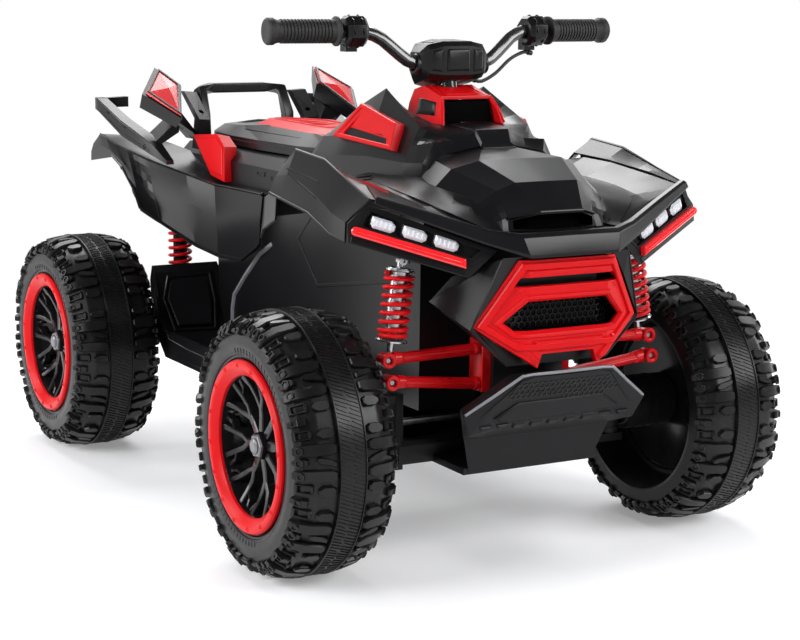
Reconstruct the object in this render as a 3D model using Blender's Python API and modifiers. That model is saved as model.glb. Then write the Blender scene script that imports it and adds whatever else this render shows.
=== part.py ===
"""Electric ride-on car for a child, in the form of a quad bike with four block-tread wheels.

Metres, +Z up, the front faces -Y and the ground is z = 0. "right" is the rider's right, at -X.
"""

import math

import bmesh
import bpy
import numpy as np
from mathutils import Matrix, Vector

# Wheels and axles
WHEELBASE = 0.72
HALF_TRACK = 0.2805
TYRE_RADIUS = 0.160
TYRE_HALF_WIDTH = 0.0625
LUG_DEPTH = 0.0065
TREAD_REPEATS = 10
BAND_BLOCKS = (1, 1, 0, 1, 1)
SHOULDER_BLOCKS = (1, 0, 1, 0, 1)
TYRE_STEPS = TREAD_REPEATS * len(BAND_BLOCKS)
RIM_STEPS = 22
BEAD_RADIUS = 0.098
RING_RADIUS = 0.1035
RING_PROUD = 0.003
RIM_WALL = 0.006
SPOKES = 8
HUB_RADIUS = 0.022
AXLE_RADIUS = 0.006
DRUM_RADIUS = 0.034
DRUM_LENGTH = 0.066
DRUM_OUTER = HALF_TRACK - 0.0185
DRUM_INNER = DRUM_OUTER - DRUM_LENGTH

# Steering
KINGPIN_X = DRUM_INNER - 0.021
KINGPIN_RADIUS = 0.007
STEER_ARM = 0.035
COLUMN_RADIUS = 0.011
COLUMN_FOOT = (-0.353, 0.165)
COLUMN_TOP = (-0.236, 0.575)
PITMAN_ARM = 0.028
COWL_TOP = COLUMN_TOP[1] - 0.005
BAR_RISE = 0.068
BAR_HEIGHT = COWL_TOP + BAR_RISE
BAR_DROP = 0.041
BAR_RADIUS = 0.0085
COVER_CLEARANCE = 0.008
BAR_HALF_LENGTH = 0.248
GRIP_RADIUS = 0.0145
GRIP_LENGTH = 0.094
CABLE_RADIUS = 0.0024

# Frame and suspension
FLOOR_Z = 0.118
FLOOR_THICK = 0.008
TUB_HALF_WIDTH = 0.0965
TUB_WALL = 0.006
SWING_PIVOT_Y = 0.12
SPRING_X = 0.124
SPRING_TOWER_Z = 0.334
COIL_RADIUS = 0.0160
WIRE_RADIUS = 0.0026
COIL_POINTS = 7
FRONT_CURLS = 8.0
REAR_CURLS = 7.5
DAMPER_FOOT = (KINGPIN_X + 0.003, -0.415, 0.2815)
DAMPER_HEAD = (0.165, -0.413, 0.369)
ARM_RADIUS = 0.007

# Body
SHELL = 0.0026
SEAT_LENGTH = 0.36
SEAT_END = 0.004 + SEAT_LENGTH
SEAT_HALF_WIDTH = 0.078
SEAT_TOP = 0.496
SEAT_BASE = 0.4555
WAIST_Y = -0.05
BOARD_THICK = 0.016
BOARD_OUTER = HALF_TRACK - TYRE_HALF_WIDTH - 0.016
GAP = 0.0004

RIGHT, LEFT = -1, 1
SIDES = ((RIGHT, "right"), (LEFT, "left"))
FRONT_Y = -WHEELBASE / 2
REAR_Y = WHEELBASE / 2

# Colour, metallic value and roughness of each kind of surface
LOOKS = {
    "black": ((0.012, 0.012, 0.013), 0.0, 0.38),
    "grey": ((0.045, 0.046, 0.05), 0.0, 0.45),
    "tyre": ((0.014, 0.014, 0.015), 0.0, 0.6),
    "red": ((0.72, 0.006, 0.010), 0.0, 0.22),
    "steel": ((0.55, 0.55, 0.57), 1.0, 0.3),
    "lamp": ((0.95, 0.96, 1.0), 0.0, 0.15),
    "grip": ((0.016, 0.016, 0.016), 0.0, 0.75),
}

for old in list(bpy.data.objects):
    bpy.data.objects.remove(old, do_unlink=True)
parts = bpy.data.collections.new("ride_on_quad")
bpy.context.scene.collection.children.link(parts)


def front(x, y, z):
    """A point of the front half, kept at its distance from the front axle."""
    return Vector((x, FRONT_Y + 0.36 + y, TYRE_RADIUS - 0.16 + z))


def rear(x, y, z):
    """A point of the rear half, kept at its distance from the rear axle."""
    return Vector((x, REAR_Y - 0.36 + y, TYRE_RADIUS - 0.16 + z))


def at_side(side, points):
    return [Vector((side * p[0], p[1], p[2])) for p in points]


def paint(obj, look):
    colour, metallic, roughness = LOOKS[look]
    material = bpy.data.materials.new(obj.name)
    material.use_nodes = True
    shader = material.node_tree.nodes["Principled BSDF"]
    shader.inputs["Base Color"].default_value = (*colour, 1)
    shader.inputs["Metallic"].default_value = metallic
    shader.inputs["Roughness"].default_value = roughness
    material.diffuse_color = (*colour, 1)
    obj.data.materials.clear()
    obj.data.materials.append(material)
    return obj


def from_bmesh(name, bm, look=None):
    """A new object of this mesh, its faces turned outwards."""
    bmesh.ops.remove_doubles(bm, verts=bm.verts, dist=1e-6)
    bmesh.ops.recalc_face_normals(bm, faces=bm.faces)
    mesh = bpy.data.meshes.new(name)
    bm.to_mesh(mesh)
    bm.free()
    obj = bpy.data.objects.new(name, mesh)
    parts.objects.link(obj)
    return paint(obj, look) if look else obj


def baked(obj):
    """The object with its modifiers, or its curve, turned into a plain welded mesh."""
    graph = bpy.context.evaluated_depsgraph_get()
    mesh = bpy.data.meshes.new_from_object(obj.evaluated_get(graph))
    bm = bmesh.new()
    bm.from_mesh(mesh)
    bm.transform(obj.matrix_world)
    name = obj.name
    bpy.data.objects.remove(obj, do_unlink=True)
    return from_bmesh(name, bm)


def box(name, low, high):
    low, high = Vector(low), Vector(high)
    bm = bmesh.new()
    bmesh.ops.create_cube(bm, size=1)
    bmesh.ops.scale(bm, vec=high - low, verts=bm.verts)
    bmesh.ops.translate(bm, vec=(low + high) / 2, verts=bm.verts)
    return from_bmesh(name, bm)


def rod(name, start, end, radius, sides=16, end_radius=None):
    """A cylinder, or a cone, from one point to another."""
    start, end = Vector(start), Vector(end)
    bm = bmesh.new()
    far = radius if end_radius is None else end_radius
    length = (end - start).length
    bmesh.ops.create_cone(bm, cap_ends=True, segments=sides, radius1=radius, radius2=far, depth=length)
    turn = (end - start).to_track_quat("Z", "Y").to_matrix().to_4x4()
    bm.transform(Matrix.Translation((start + end) / 2) @ turn)
    return from_bmesh(name, bm)


def turned(name, profile, steps, centre, axis=(1, 0, 0)):
    """A profile of (along, radius) points screwed round an axis through the centre."""
    mesh = bpy.data.meshes.new(name)
    points = [(radius, 0, along) for along, radius in profile]
    count = len(points)
    mesh.from_pydata(points, [(i, (i + 1) % count) for i in range(count)], [])
    obj = bpy.data.objects.new(name, mesh)
    parts.objects.link(obj)
    screw = obj.modifiers.new("Screw", "SCREW")
    screw.steps = screw.render_steps = steps
    screw.use_merge_vertices = True
    screw.merge_threshold = 1e-6
    bpy.context.view_layer.update()
    obj = baked(obj)
    turn = Vector(axis).to_track_quat("Z", "Y").to_matrix().to_4x4()
    obj.data.transform(Matrix.Translation(Vector(centre)) @ turn)
    return obj


def tube(name, points, radius, resolution=1):
    """A round wire along these points, with closed ends."""
    curve = bpy.data.curves.new(name, "CURVE")
    curve.dimensions = "3D"
    curve.bevel_depth = radius
    curve.bevel_resolution = resolution
    curve.use_fill_caps = True
    spline = curve.splines.new("POLY")
    spline.points.add(len(points) - 1)
    for place, point in zip(spline.points, points):
        place.co = (*point, 1)
    obj = bpy.data.objects.new(name, curve)
    parts.objects.link(obj)
    bpy.context.view_layer.update()
    return baked(obj)


def smooth_route(points, spacing):
    """Points about this far apart on a smooth curve through the given ones."""
    path = [Vector(p) for p in points]
    ends = [2 * path[0] - path[1], *path, 2 * path[-1] - path[-2]]
    route = []
    for a, b, c, d in zip(ends, ends[1:], ends[2:], ends[3:]):
        steps = max(1, round((c - b).length / spacing))
        for i in range(steps):
            t = i / steps
            bend = 2 * b + (c - a) * t + (2 * a - 5 * b + 4 * c - d) * t**2
            route.append((bend + (3 * b - a - 3 * c + d) * t**3) / 2)
    return [*route, path[-1]]


def loft(name, sections):
    """A closed solid through sections of equal point counts."""
    bm = bmesh.new()
    rings = [[bm.verts.new(p) for p in section] for section in sections]
    count = len(rings[0])
    for ring, after in zip(rings, rings[1:]):
        for i in range(count):
            j = (i + 1) % count
            bm.faces.new((ring[i], ring[j], after[j], after[i]))
    bm.faces.new(list(reversed(rings[0])))
    bm.faces.new(rings[-1])
    return from_bmesh(name, bm)


def panel(name, rows, thickness=SHELL, close_end=False, inward=True):
    """A moulded skin: rows of points bridged into an open surface and given a wall."""
    bm = bmesh.new()
    grid = [[None if p is None else bm.verts.new(p) for p in row] for row in rows]
    for row, after in zip(grid, grid[1:]):
        for i in range(len(row) - 1):
            corners = (row[i], row[i + 1], after[i + 1], after[i])
            if None not in corners:
                bm.faces.new(corners)
    if close_end:
        bm.faces.new(grid[-1])
    bmesh.ops.triangulate(bm, faces=bm.faces, quad_method="SHORT_EDGE")
    bmesh.ops.recalc_face_normals(bm, faces=bm.faces)
    highest = max(bm.faces, key=lambda face: face.calc_center_median().z)
    if (highest.normal.z < 0) == inward:
        bmesh.ops.reverse_faces(bm, faces=bm.faces)
    mesh = bpy.data.meshes.new(name)
    bm.to_mesh(mesh)
    bm.free()
    obj = bpy.data.objects.new(name, mesh)
    parts.objects.link(obj)
    wall = obj.modifiers.new("Wall", "SOLIDIFY")
    wall.thickness = thickness
    wall.offset = -1
    wall.use_even_offset = True
    bpy.context.view_layer.update()
    return baked(obj)


def outline_plate(name, loops, y_front, depth):
    """Flat outlines of (x, z) points, holes included, extruded backwards from y_front."""
    curve = bpy.data.curves.new(name, "CURVE")
    curve.dimensions = "2D"
    curve.fill_mode = "BOTH"
    curve.extrude = depth / 2
    for loop in loops:
        spline = curve.splines.new("POLY")
        spline.points.add(len(loop) - 1)
        for place, (x, z) in zip(spline.points, loop):
            place.co = (x, z, 0, 1)
        spline.use_cyclic_u = True
    obj = bpy.data.objects.new(name, curve)
    obj.rotation_euler.x = math.pi / 2
    obj.location = (0, y_front + depth / 2, 0)
    parts.objects.link(obj)
    bpy.context.view_layer.update()
    return baked(obj)


def combine(target, tools, operation):
    """Join tools to the target, or cut them from it, one after the other."""
    name = target.name
    for tool in tools:
        change = target.modifiers.new("Change", "BOOLEAN")
        change.operation = operation
        change.solver = "EXACT"
        change.object = tool
        bpy.context.view_layer.update()
        target = baked(target)
        target.name = name
        bpy.data.objects.remove(tool, do_unlink=True)
    return target


def fuse(target, *tools):
    return combine(target, tools, "UNION")


def carve(target, *tools):
    return combine(target, tools, "DIFFERENCE")


def smooth(obj, degrees=35):
    obj.data.shade_smooth()
    obj.data.set_sharp_from_angle(angle=math.radians(degrees))
    return obj


def empty(name, place):
    marker = bpy.data.objects.new(name, None)
    marker.location = place
    marker.empty_display_size = 0.03
    parts.objects.link(marker)
    return marker


def ride(obj, marker):
    """Put the object's origin on its joint's axis and hang it there."""
    obj.data.transform(Matrix.Translation(-marker.location))
    obj.parent = marker
    return obj


def mirrored(half):
    """A whole cross-section from its +X half, which starts on the middle plane."""
    other = [Vector((-p[0], p[1], p[2])) for p in reversed(half) if p is not None and abs(p[0]) > 1e-9]
    return other + [Vector(p) for p in half]


def mirrored_row(half):
    """A row of a symmetric skin from its +X half, blanks kept."""
    whole = [None if p is None else Vector((-p[0], p[1], p[2])) for p in reversed(half[1:])]
    return whole + [None if p is None else Vector(p) for p in half]


def make_tyre(name, centre, side):
    """Annular tyre: a section carried round the axle, with tread blocks beside a middle band."""
    crown = TYRE_RADIUS / math.cos(math.pi / TYRE_STEPS)
    w = TYRE_HALF_WIDTH
    side_low, shoulder = RING_RADIUS + 0.0105, crown - 0.0183
    side_high = (side_low + shoulder) / 2

    def section(angle, band_block, shoulder_block):
        inner, outer = LUG_DEPTH * band_block, LUG_DEPTH * shoulder_block
        flank = crown - 0.0095 + inner
        edge = (0.90 * w + 0.55 * outer, shoulder + 0.83 * outer)
        across = [
            (0.0555, BEAD_RADIUS),
            (w, side_low),
            (w, side_high),
            edge,
            (0.64 * w, flank),
            (0.26 * w, crown),
            (-0.26 * w, crown),
            (-0.64 * w, flank),
            (-edge[0], edge[1]),
            (-w, side_high),
            (-0.19 * w, BEAD_RADIUS),
        ]
        c, s = math.cos(angle), math.sin(angle)
        return [centre + Vector((side * out, r * c, r * s)) for out, r in across]

    bm = bmesh.new()
    rings = []
    for k in range(TYRE_STEPS):
        angle = -math.pi / 2 + (k + 0.5) * 2 * math.pi / TYRE_STEPS
        place = k % len(BAND_BLOCKS)
        rings.append([bm.verts.new(p) for p in section(angle, BAND_BLOCKS[place], SHOULDER_BLOCKS[place])])
    count = len(rings[0])
    for k, ring in enumerate(rings):
        after = rings[(k + 1) % TYRE_STEPS]
        for i in range(count):
            j = (i + 1) % count
            bm.faces.new((ring[i], ring[j], after[j], after[i]))
    return paint(from_bmesh(name, bm), "tyre")


def make_rim(name, centre, side):
    """Bead ring, barrel, back wall, hub tube with its cap, and the spokes between them."""
    lip = 0.0620 + RING_PROUD
    seat = BEAD_RADIUS * math.cos(math.pi / TYRE_STEPS) - GAP
    back = -0.19 * TYRE_HALF_WIDTH
    bore = AXLE_RADIUS + GAP
    cap = 0.050
    profile = [
        (lip, RING_RADIUS - 0.004),
        (lip - 0.003, RING_RADIUS),
        (0.0585, RING_RADIUS),
        (0.0578, seat),
        (back, seat),
        (back, bore),
        (cap - 0.008, bore),
        (cap - 0.008, 0),
        (cap, 0),
        (cap, HUB_RADIUS),
        (back + RIM_WALL, HUB_RADIUS),
        (back + RIM_WALL, seat - RIM_WALL),
        (lip - 0.006, seat - RIM_WALL - 0.008),
        (lip, seat - RIM_WALL - 0.006),
    ]
    rim = turned(name, profile, RIM_STEPS, centre, (side, 0, 0))
    spokes = []
    for k in range(SPOKES):
        angle = 2 * math.pi * k / SPOKES
        reach = Vector((0, math.cos(angle), math.sin(angle)))
        across = Vector((0, -math.sin(angle), math.cos(angle)))
        near, far = centre + reach * (HUB_RADIUS - 0.004), centre + reach * (seat - RIM_WALL + 0.003)
        rings = []
        for middle, half in ((near, 0.0065), (far, 0.011)):
            low = middle + Vector((side * 0.030, 0, 0))
            high = middle + Vector((side * 0.046, 0, 0))
            rings.append([low - across * half, low + across * half, high + across * half * 0.6,
                          high - across * half * 0.6])
        spokes.append(loft("spoke", rings))
    return smooth(paint(fuse(rim, *spokes), "black"))


def make_wheels(markers):
    for end, y in (("front", FRONT_Y), ("rear", REAR_Y)):
        for side, word in SIDES:
            centre = Vector((side * HALF_TRACK, y, TYRE_RADIUS))
            marker = empty(f"{end}_{word}_wheel_axis", centre)
            ride(make_tyre(f"{end}_{word}_tyre", centre, side), marker)
            ride(make_rim(f"{end}_{word}_rim", centre, side), marker)
            markers[end + word] = marker


def column_at(z):
    """The point of the steering column's axis at this height."""
    foot, top = front(0, *COLUMN_FOOT), front(0, *COLUMN_TOP)
    return foot + (top - foot) * ((z - foot.z) / (top.z - foot.z))


def make_chassis():
    """Floor tub with side walls, front beam, kingpin forks, column socket and spring tower."""
    w, t, lift = TUB_HALF_WIDTH, TUB_WALL, TYRE_RADIUS - 0.16
    floor, deck = FLOOR_Z + lift, FLOOR_Z + FLOOR_THICK + lift
    f, r = FRONT_Y, REAR_Y
    tub = box("chassis_tub", (-w, f - 0.090, floor), (w, r - 0.16, deck))
    tools = [box("tower", (-0.05, f - 0.078, floor), (0.05, f - 0.052, 0.345 + lift))]
    beam_top, ear = TYRE_RADIUS - 0.018, 0.010
    reach = KINGPIN_X - 0.030
    tools.append(box("beam", (-reach, f - 0.018, floor + 0.001), (reach, f + 0.018, beam_top)))
    for side, _ in SIDES:
        tools.append(box("wall", (side * (w - t / 2) - t / 2, f + 0.075, floor + 0.001),
                         (side * (w - t / 2) + t / 2, r - 0.09, 0.200 + lift)))
        tools.append(box("mast", (side * (w - t / 2) - t / 2, r - 0.150, 0.19 + lift),
                         (side * (w - t / 2) + t / 2, r - 0.091, SPRING_TOWER_Z + lift + 0.002)))
        x = sorted((side * (reach - 0.006), side * (reach + 0.004)))
        low, high = TYRE_RADIUS - 0.047, TYRE_RADIUS + 0.047
        tools.append(box("web", (x[0], f - 0.017, low), (x[1], f + 0.017, high)))
        for height in (-0.041, 0.041):
            x = sorted((side * (reach - 0.003), side * (KINGPIN_X + 0.015)))
            z = TYRE_RADIUS + height
            tools.append(box("ear", (x[0], f - 0.0155, z - ear / 2), (x[1], f + 0.0155, z + ear / 2)))
    top = SPRING_TOWER_Z + lift
    tools.append(box("plate", (-w, r - 0.155, top), (w, r + 0.035, top + 0.009)))
    wide = SPRING_X + 0.021
    tools.append(box("spring_seat", (-wide, r - 0.022, top), (wide, r + 0.022, top + 0.0085)))
    tools.append(rod("socket", column_at(floor + 0.003), column_at(beam_top + 0.008), 0.019))
    for side, _ in SIDES:
        x = side * SPRING_X
        tools.append(rod("sleeve", (x, r, top + 0.001), (x, r, top - 0.095), 0.0108, 12))
    tub = fuse(tub, *tools)
    low, high = column_at(beam_top - 0.01), column_at(beam_top + 0.04)
    holes = [rod("column_hole", low, high, COLUMN_RADIUS - 0.0015, 12)]
    pivot_z = TYRE_RADIUS
    pivot_y = SWING_PIVOT_Y + REAR_Y - 0.36
    holes.append(rod("pivot_hole", (-w - 0.01, pivot_y, pivot_z), (w + 0.01, pivot_y, pivot_z), 0.0074, 12))
    for side, _ in SIDES:
        x = side * KINGPIN_X
        holes.append(rod("kingpin_hole", (x, f, TYRE_RADIUS - 0.06), (x, f, TYRE_RADIUS + 0.06),
                         KINGPIN_RADIUS + 0.0008, 12))
    return paint(carve(tub, *holes), "black")


def make_steering(markers):
    """Handlebar and column in one weldment, with what it carries."""
    marker = empty("steering_axis", column_at(0.165 + TYRE_RADIUS - 0.16))
    lift = TYRE_RADIUS - 0.16
    foot = column_at(FLOOR_Z + FLOOR_THICK + lift + 0.008)
    crown = on_bar(0, 0, -BAR_DROP)
    column = rod("handlebar", foot, crown, COLUMN_RADIUS, 16)
    slim = rod("spigot", foot - (crown - foot).normalized() * 0.001, column_at(TYRE_RADIUS - 0.006),
               COLUMN_RADIUS + 0.01, 16)
    column = carve(column, slim)
    spigot = rod("spigot", foot, column_at(TYRE_RADIUS + 0.002), COLUMN_RADIUS - 0.0025, 12)
    arm_low = TYRE_RADIUS + 0.0100
    middle = column_at(arm_low + 0.003)
    pin_y = marker.location.y + PITMAN_ARM
    arm = box("pitman", (-0.008, middle.y - 0.004, arm_low), (0.008, pin_y + 0.007, arm_low + 0.006))
    pin = rod("pin", (0, pin_y, arm_low + 0.001), (0, pin_y, arm_low - 0.0125), 0.003, 10)
    route = bar_route()
    half = tube("bar", route, BAR_RADIUS, 2)
    bar = fuse(column, spigot, arm, pin, half)
    ride(smooth(paint(bar, "black")), marker)
    room = GAP + 0.0003
    tunnel = [tube("tunnel", route, BAR_RADIUS + room, 2),
              rod("neck", column_at(0.5 + lift), column_at(crown.z + 0.0006), COLUMN_RADIUS + room, 16)]
    face = on_bar(*BUTTON_PLACE)
    well = rod("well", face - Vector((0, BUTTON_TRAVEL + 0.002, 0)), face + Vector((0, 0.02, 0)),
               BUTTON_RADIUS + GAP, 16)
    cover = carve(make_bar_cover(), *tunnel, well)
    ride(paint(cover, "black"), marker)
    make_start_button(marker)
    for side, word in SIDES:
        ride(make_grip(f"grip_{word}", side), marker)
        ride(make_pod(f"switch_pod_{word}", side), marker)
    ride(make_cable(), marker)
    markers["steer"] = marker


BAR_BENDS = [
    (0.0, -0.0083, -BAR_DROP),
    (0.048, -0.0088, -BAR_DROP),
    (0.072, -0.0063, -0.028),
    (0.094, -0.0023, -0.010),
    (0.114, 0.0007, -0.0015),
    (0.132, 0.0017, 0.0),
]
BAR_TIP = (BAR_HALF_LENGTH - 0.004, 0.0082, 0.0)


def on_bar(x, back, up):
    """A point measured from the column's axis at the bar, and from the height of the grips."""
    lift = TYRE_RADIUS - 0.16
    crown = column_at(BAR_HEIGHT - BAR_DROP + lift)
    return Vector((x, crown.y + back, BAR_HEIGHT + up + lift))


def bar_route():
    """The handlebar's middle line, end to end."""
    half = smooth_route([on_bar(*bend) for bend in BAR_BENDS], 0.014)
    half = half + [on_bar(*BAR_TIP)]
    return [Vector((-p.x, p.y, p.z)) for p in reversed(half[1:])] + half


def grip_frame(side):
    """Where the straight end of the bar starts, and its direction outwards."""
    start, tip = at_side(side, [on_bar(*BAR_BENDS[-1]), on_bar(*BAR_TIP)])
    return start, (tip - start).normalized(), tip


def make_grip(name, side):
    """A blind sleeve with a flange at each end, pushed over the bar."""
    start, out, tip = grip_frame(side)
    bore = BAR_RADIUS + GAP
    end = (tip - start).length
    near = end + 0.004 - GRIP_LENGTH
    profile = [
        (near, bore),
        (end + GAP, bore),
        (end + GAP, 0),
        (end + 0.006, 0),
        (end + 0.006, GRIP_RADIUS),
        (end + 0.0035, GRIP_RADIUS + 0.0022),
        (end - 0.001, GRIP_RADIUS + 0.0022),
        (end - 0.003, GRIP_RADIUS),
        (near + 0.006, GRIP_RADIUS),
        (near + 0.004, GRIP_RADIUS + 0.004),
        (near, GRIP_RADIUS + 0.004),
    ]
    return smooth(paint(turned(name, profile, 16, start, out), "grip"))


def make_pod(name, side):
    """The clamp-on switch housing between the bend and the grip."""
    start, out, tip = grip_frame(side)
    up = Vector((0, 0, 1))
    back = out.cross(up) * side
    sections = []
    for along, size in ((-0.014, 0.0165), (-0.009, 0.0205), (0.010, 0.0205), (0.0145, 0.017)):
        middle = start + out * along
        ring = []
        for k in range(8):
            angle = math.pi / 8 + k * math.pi / 4
            ring.append(middle + (back * math.cos(angle) + up * math.sin(angle)) * size)
        sections.append(ring)
    pod = loft(name, sections)
    clamp = box("clamp", start + Vector((-0.008, 0.006, -0.0255)), start + Vector((0.008, 0.022, 0.0)))
    pod = fuse(pod, clamp)
    bore = tube("bore", bar_route(), BAR_RADIUS + GAP, 2)
    return paint(carve(pod, bore), "black")


def make_bar_cover():
    """The faceted block over the middle of the bar."""
    under = COWL_TOP + COVER_CLEARANCE - BAR_HEIGHT

    def section(x, rise, high, fore, aft, chamfer):
        low = under + rise
        sink = (fore - aft + 2 * chamfer) * 0.285
        return [
            on_bar(x, fore + chamfer, low),
            on_bar(x, fore, low + chamfer),
            on_bar(x, fore, high - chamfer),
            on_bar(x, fore + chamfer, high),
            on_bar(x, aft - chamfer, high),
            on_bar(x, aft, high - chamfer),
            on_bar(x, aft, low + chamfer + sink),
            on_bar(x, aft - chamfer, low + sink),
        ]

    half = [
        section(0.049, 0.013, -0.026, -0.0213, 0.0077, 0.004),
        section(0.040, 0.002, -0.016, -0.0293, 0.0157, 0.006),
        section(0.020, 0.000, -0.012, -0.0323, 0.0217, 0.006),
    ]
    other = [[Vector((-p.x, p.y, p.z)) for p in ring] for ring in half]
    return loft("bar_cover", half + other[::-1])


BUTTON_PLACE = (0.0, 0.0217, -0.030)
BUTTON_RADIUS = 0.009
BUTTON_TRAVEL = 0.0025


def make_start_button(marker):
    """A round push button on the rider's face of the bar cover."""
    face = on_bar(*BUTTON_PLACE)
    stub = rod("start_button", face - Vector((0, 0.001, 0)), face + Vector((0, 0.0055, 0)), BUTTON_RADIUS, 16)
    axis = empty("start_button_axis", face)
    axis.parent = marker
    axis.location = face - marker.location
    stub.data.transform(Matrix.Translation(-face))
    stub.parent = axis
    smooth(paint(stub, "red"))


CABLE_ROUTE = [
    (0.1380, 0.0152, -0.0293),
    (0.1290, 0.0147, -0.0280),
    (0.1150, 0.0132, -0.0320),
    (0.1016, 0.0117, -0.0390),
    (0.0807, 0.0102, -0.0554),
    (0.0600, 0.0097, -0.0650),
    (0.0470, 0.0097, -0.0625),
]


def make_cable():
    """The cable from the left pod down to the bar cover, held at both ends."""
    points = [on_bar(*place) for place in CABLE_ROUTE]
    return smooth(paint(tube("throttle_cable", smooth_route(points, 0.008), CABLE_RADIUS, 1), "black"))


def make_knuckles(markers):
    """Front knuckle: kingpin barrel, drum, spindle and rearward steering arm."""
    for side, word in SIDES:
        centre = Vector((side * KINGPIN_X, FRONT_Y, TYRE_RADIUS))
        marker = empty(f"kingpin_{word}", centre)
        tall = Vector((0, 0, 0.0355))
        knuckle = rod(f"knuckle_{word}", centre - tall, centre + tall, 0.0155, 16)
        long = Vector((0, 0, 0.046))
        pin = rod("kingpin", centre - long, centre + long, KINGPIN_RADIUS, 12)
        place = Vector((side, 0, 0))
        axle = Vector((0, FRONT_Y, TYRE_RADIUS))
        drum = rod("drum", axle + place * DRUM_INNER, axle + place * DRUM_OUTER, DRUM_RADIUS, 20)
        neck = rod("neck", centre, axle + place * (DRUM_INNER + 0.002), 0.012, 12)
        spindle = rod("spindle", axle + place * (DRUM_OUTER - 0.002), axle + place * (HALF_TRACK + 0.040),
                      AXLE_RADIUS, 16)
        low, high = TYRE_RADIUS - 0.012, TYRE_RADIUS - 0.005
        tip = FRONT_Y + STEER_ARM
        arm = box("arm", (centre.x - 0.009, FRONT_Y + 0.008, low), (centre.x + 0.009, tip + 0.01, high))
        knuckle = fuse(knuckle, pin, neck, drum, spindle, arm)
        hole = rod("hole", (centre.x, tip, low - 0.002), (centre.x, tip, high + 0.002), 0.0058, 12)
        knuckle = carve(knuckle, hole)
        ride(smooth(paint(knuckle, "black")), marker)
        markers["kingpin" + word] = marker


def make_tie_rod(markers):
    """The bar that joins both steering arms, with a slot for the column's pin."""
    y = FRONT_Y + STEER_ARM
    low, high = TYRE_RADIUS - 0.005 + GAP, TYRE_RADIUS + 0.0025
    reach = KINGPIN_X + 0.006
    bar = box("tie_rod", (-reach, y - 0.006, low), (reach, y + 0.006, high))
    pad = box("pad", (-0.014, y - 0.013, low), (0.014, y + 0.013, high))
    pins = [rod("pin", (side * KINGPIN_X, y, low + 0.001), (side * KINGPIN_X, y, low - 0.0085), 0.0030, 10)
            for side, _ in SIDES]
    slot = rod("slot", (0, y, low - 0.01), (0, y, high + 0.01), 0.0066, 16)
    bar = carve(fuse(bar, pad, *pins), slot)
    marker = empty("tie_rod_axis", (0, y, low))
    ride(paint(bar, "steel"), marker)
    markers["tie"] = marker


def make_swing_arm(markers):
    """Pivot tube, two arms, axle tube, hub drums, stub axles and the lower spring seats."""
    y = SWING_PIVOT_Y + REAR_Y - 0.36
    z = TYRE_RADIUS
    inside = TUB_HALF_WIDTH - TUB_WALL - 0.001
    marker = empty("swing_axis", (0, y, z))
    arm = rod("rear_swing_arm", (-inside, y, z), (inside, y, z), 0.013, 16)
    tools = [rod("pin", (-TUB_HALF_WIDTH + GAP, y, z), (TUB_HALF_WIDTH - GAP, y, z), 0.0062, 12)]
    tools.append(rod("axle_tube", (-DRUM_INNER, REAR_Y, z), (DRUM_INNER, REAR_Y, z), 0.0115, 16))
    reach = HALF_TRACK + 0.04
    tools.append(rod("axle", (-reach, REAR_Y, z), (reach, REAR_Y, z), AXLE_RADIUS, 16))
    for side, _ in SIDES:
        x = sorted((side * (inside - 0.012), side * inside))
        tools.append(box("side_arm", (x[0], y, z - 0.010), (x[1], REAR_Y, z + 0.010)))
        tools.append(rod("drum", (side * (DRUM_INNER - 0.003), REAR_Y, z), (side * DRUM_OUTER, REAR_Y, z),
                         DRUM_RADIUS, 20))
        place = side * SPRING_X
        tools.append(rod("seat_post", (place, REAR_Y, z), (place, REAR_Y, z + 0.031), 0.014, 12))
        tools.append(rod("spring_cup", (place, REAR_Y, z + 0.026), (place, REAR_Y, z + 0.031), 0.021, 16))
    ride(smooth(paint(fuse(arm, *tools), "black")), marker)
    gearbox = box("rear_gearbox", (-0.040, REAR_Y - 0.045, z - 0.030), (0.040, REAR_Y + 0.030, z + 0.030))
    motor = rod("motor", (-0.034, REAR_Y - 0.070, z + 0.012), (0.034, REAR_Y - 0.070, z + 0.012), 0.021, 20)
    neck = box("motor_neck", (-0.026, REAR_Y - 0.070, z - 0.004), (0.026, REAR_Y - 0.040, z + 0.028))
    bore = rod("bore", (-0.05, REAR_Y, z), (0.05, REAR_Y, z), 0.0115 + GAP + 0.0003, 16)
    ride(smooth(paint(carve(fuse(gearbox, motor, neck), bore), "grey")), marker)
    markers["swing"] = marker


def coil(height, curls, end_pitch):
    """Points of a coil that stands on z = 0, its first and last turn closed up."""
    total = int(round(curls * COIL_POINTS))
    grow = []
    for k in range(total):
        at = (k + 0.5) / COIL_POINTS
        grow.append(end_pitch if at < 1 or at > curls - 1 else 1.0)
    loose = sum(1 for value in grow if value == 1.0)
    closed = sum(value for value in grow if value != 1.0) / COIL_POINTS
    free = (height - 2 * WIRE_RADIUS - closed) / loose
    points, z = [], WIRE_RADIUS
    for k in range(total + 1):
        angle = 2 * math.pi * k / COIL_POINTS
        points.append(Vector((COIL_RADIUS * math.cos(angle), COIL_RADIUS * math.sin(angle), z)))
        if k < total:
            z += grow[k] / COIL_POINTS if grow[k] != 1.0 else free
    return points


def least_gap(name, points):
    """Measure and print the least clear distance between turns of one coil."""
    places = np.array([tuple(p) for p in points])
    gap = 1.0
    for k in range(len(places)):
        others = places[k + COIL_POINTS // 2:]
        if len(others):
            gap = min(gap, np.linalg.norm(others - places[k], axis=1).min())
    print(f"{name}: least gap to itself {1000 * (gap - 2 * WIRE_RADIUS):.2f} mm")


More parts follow.
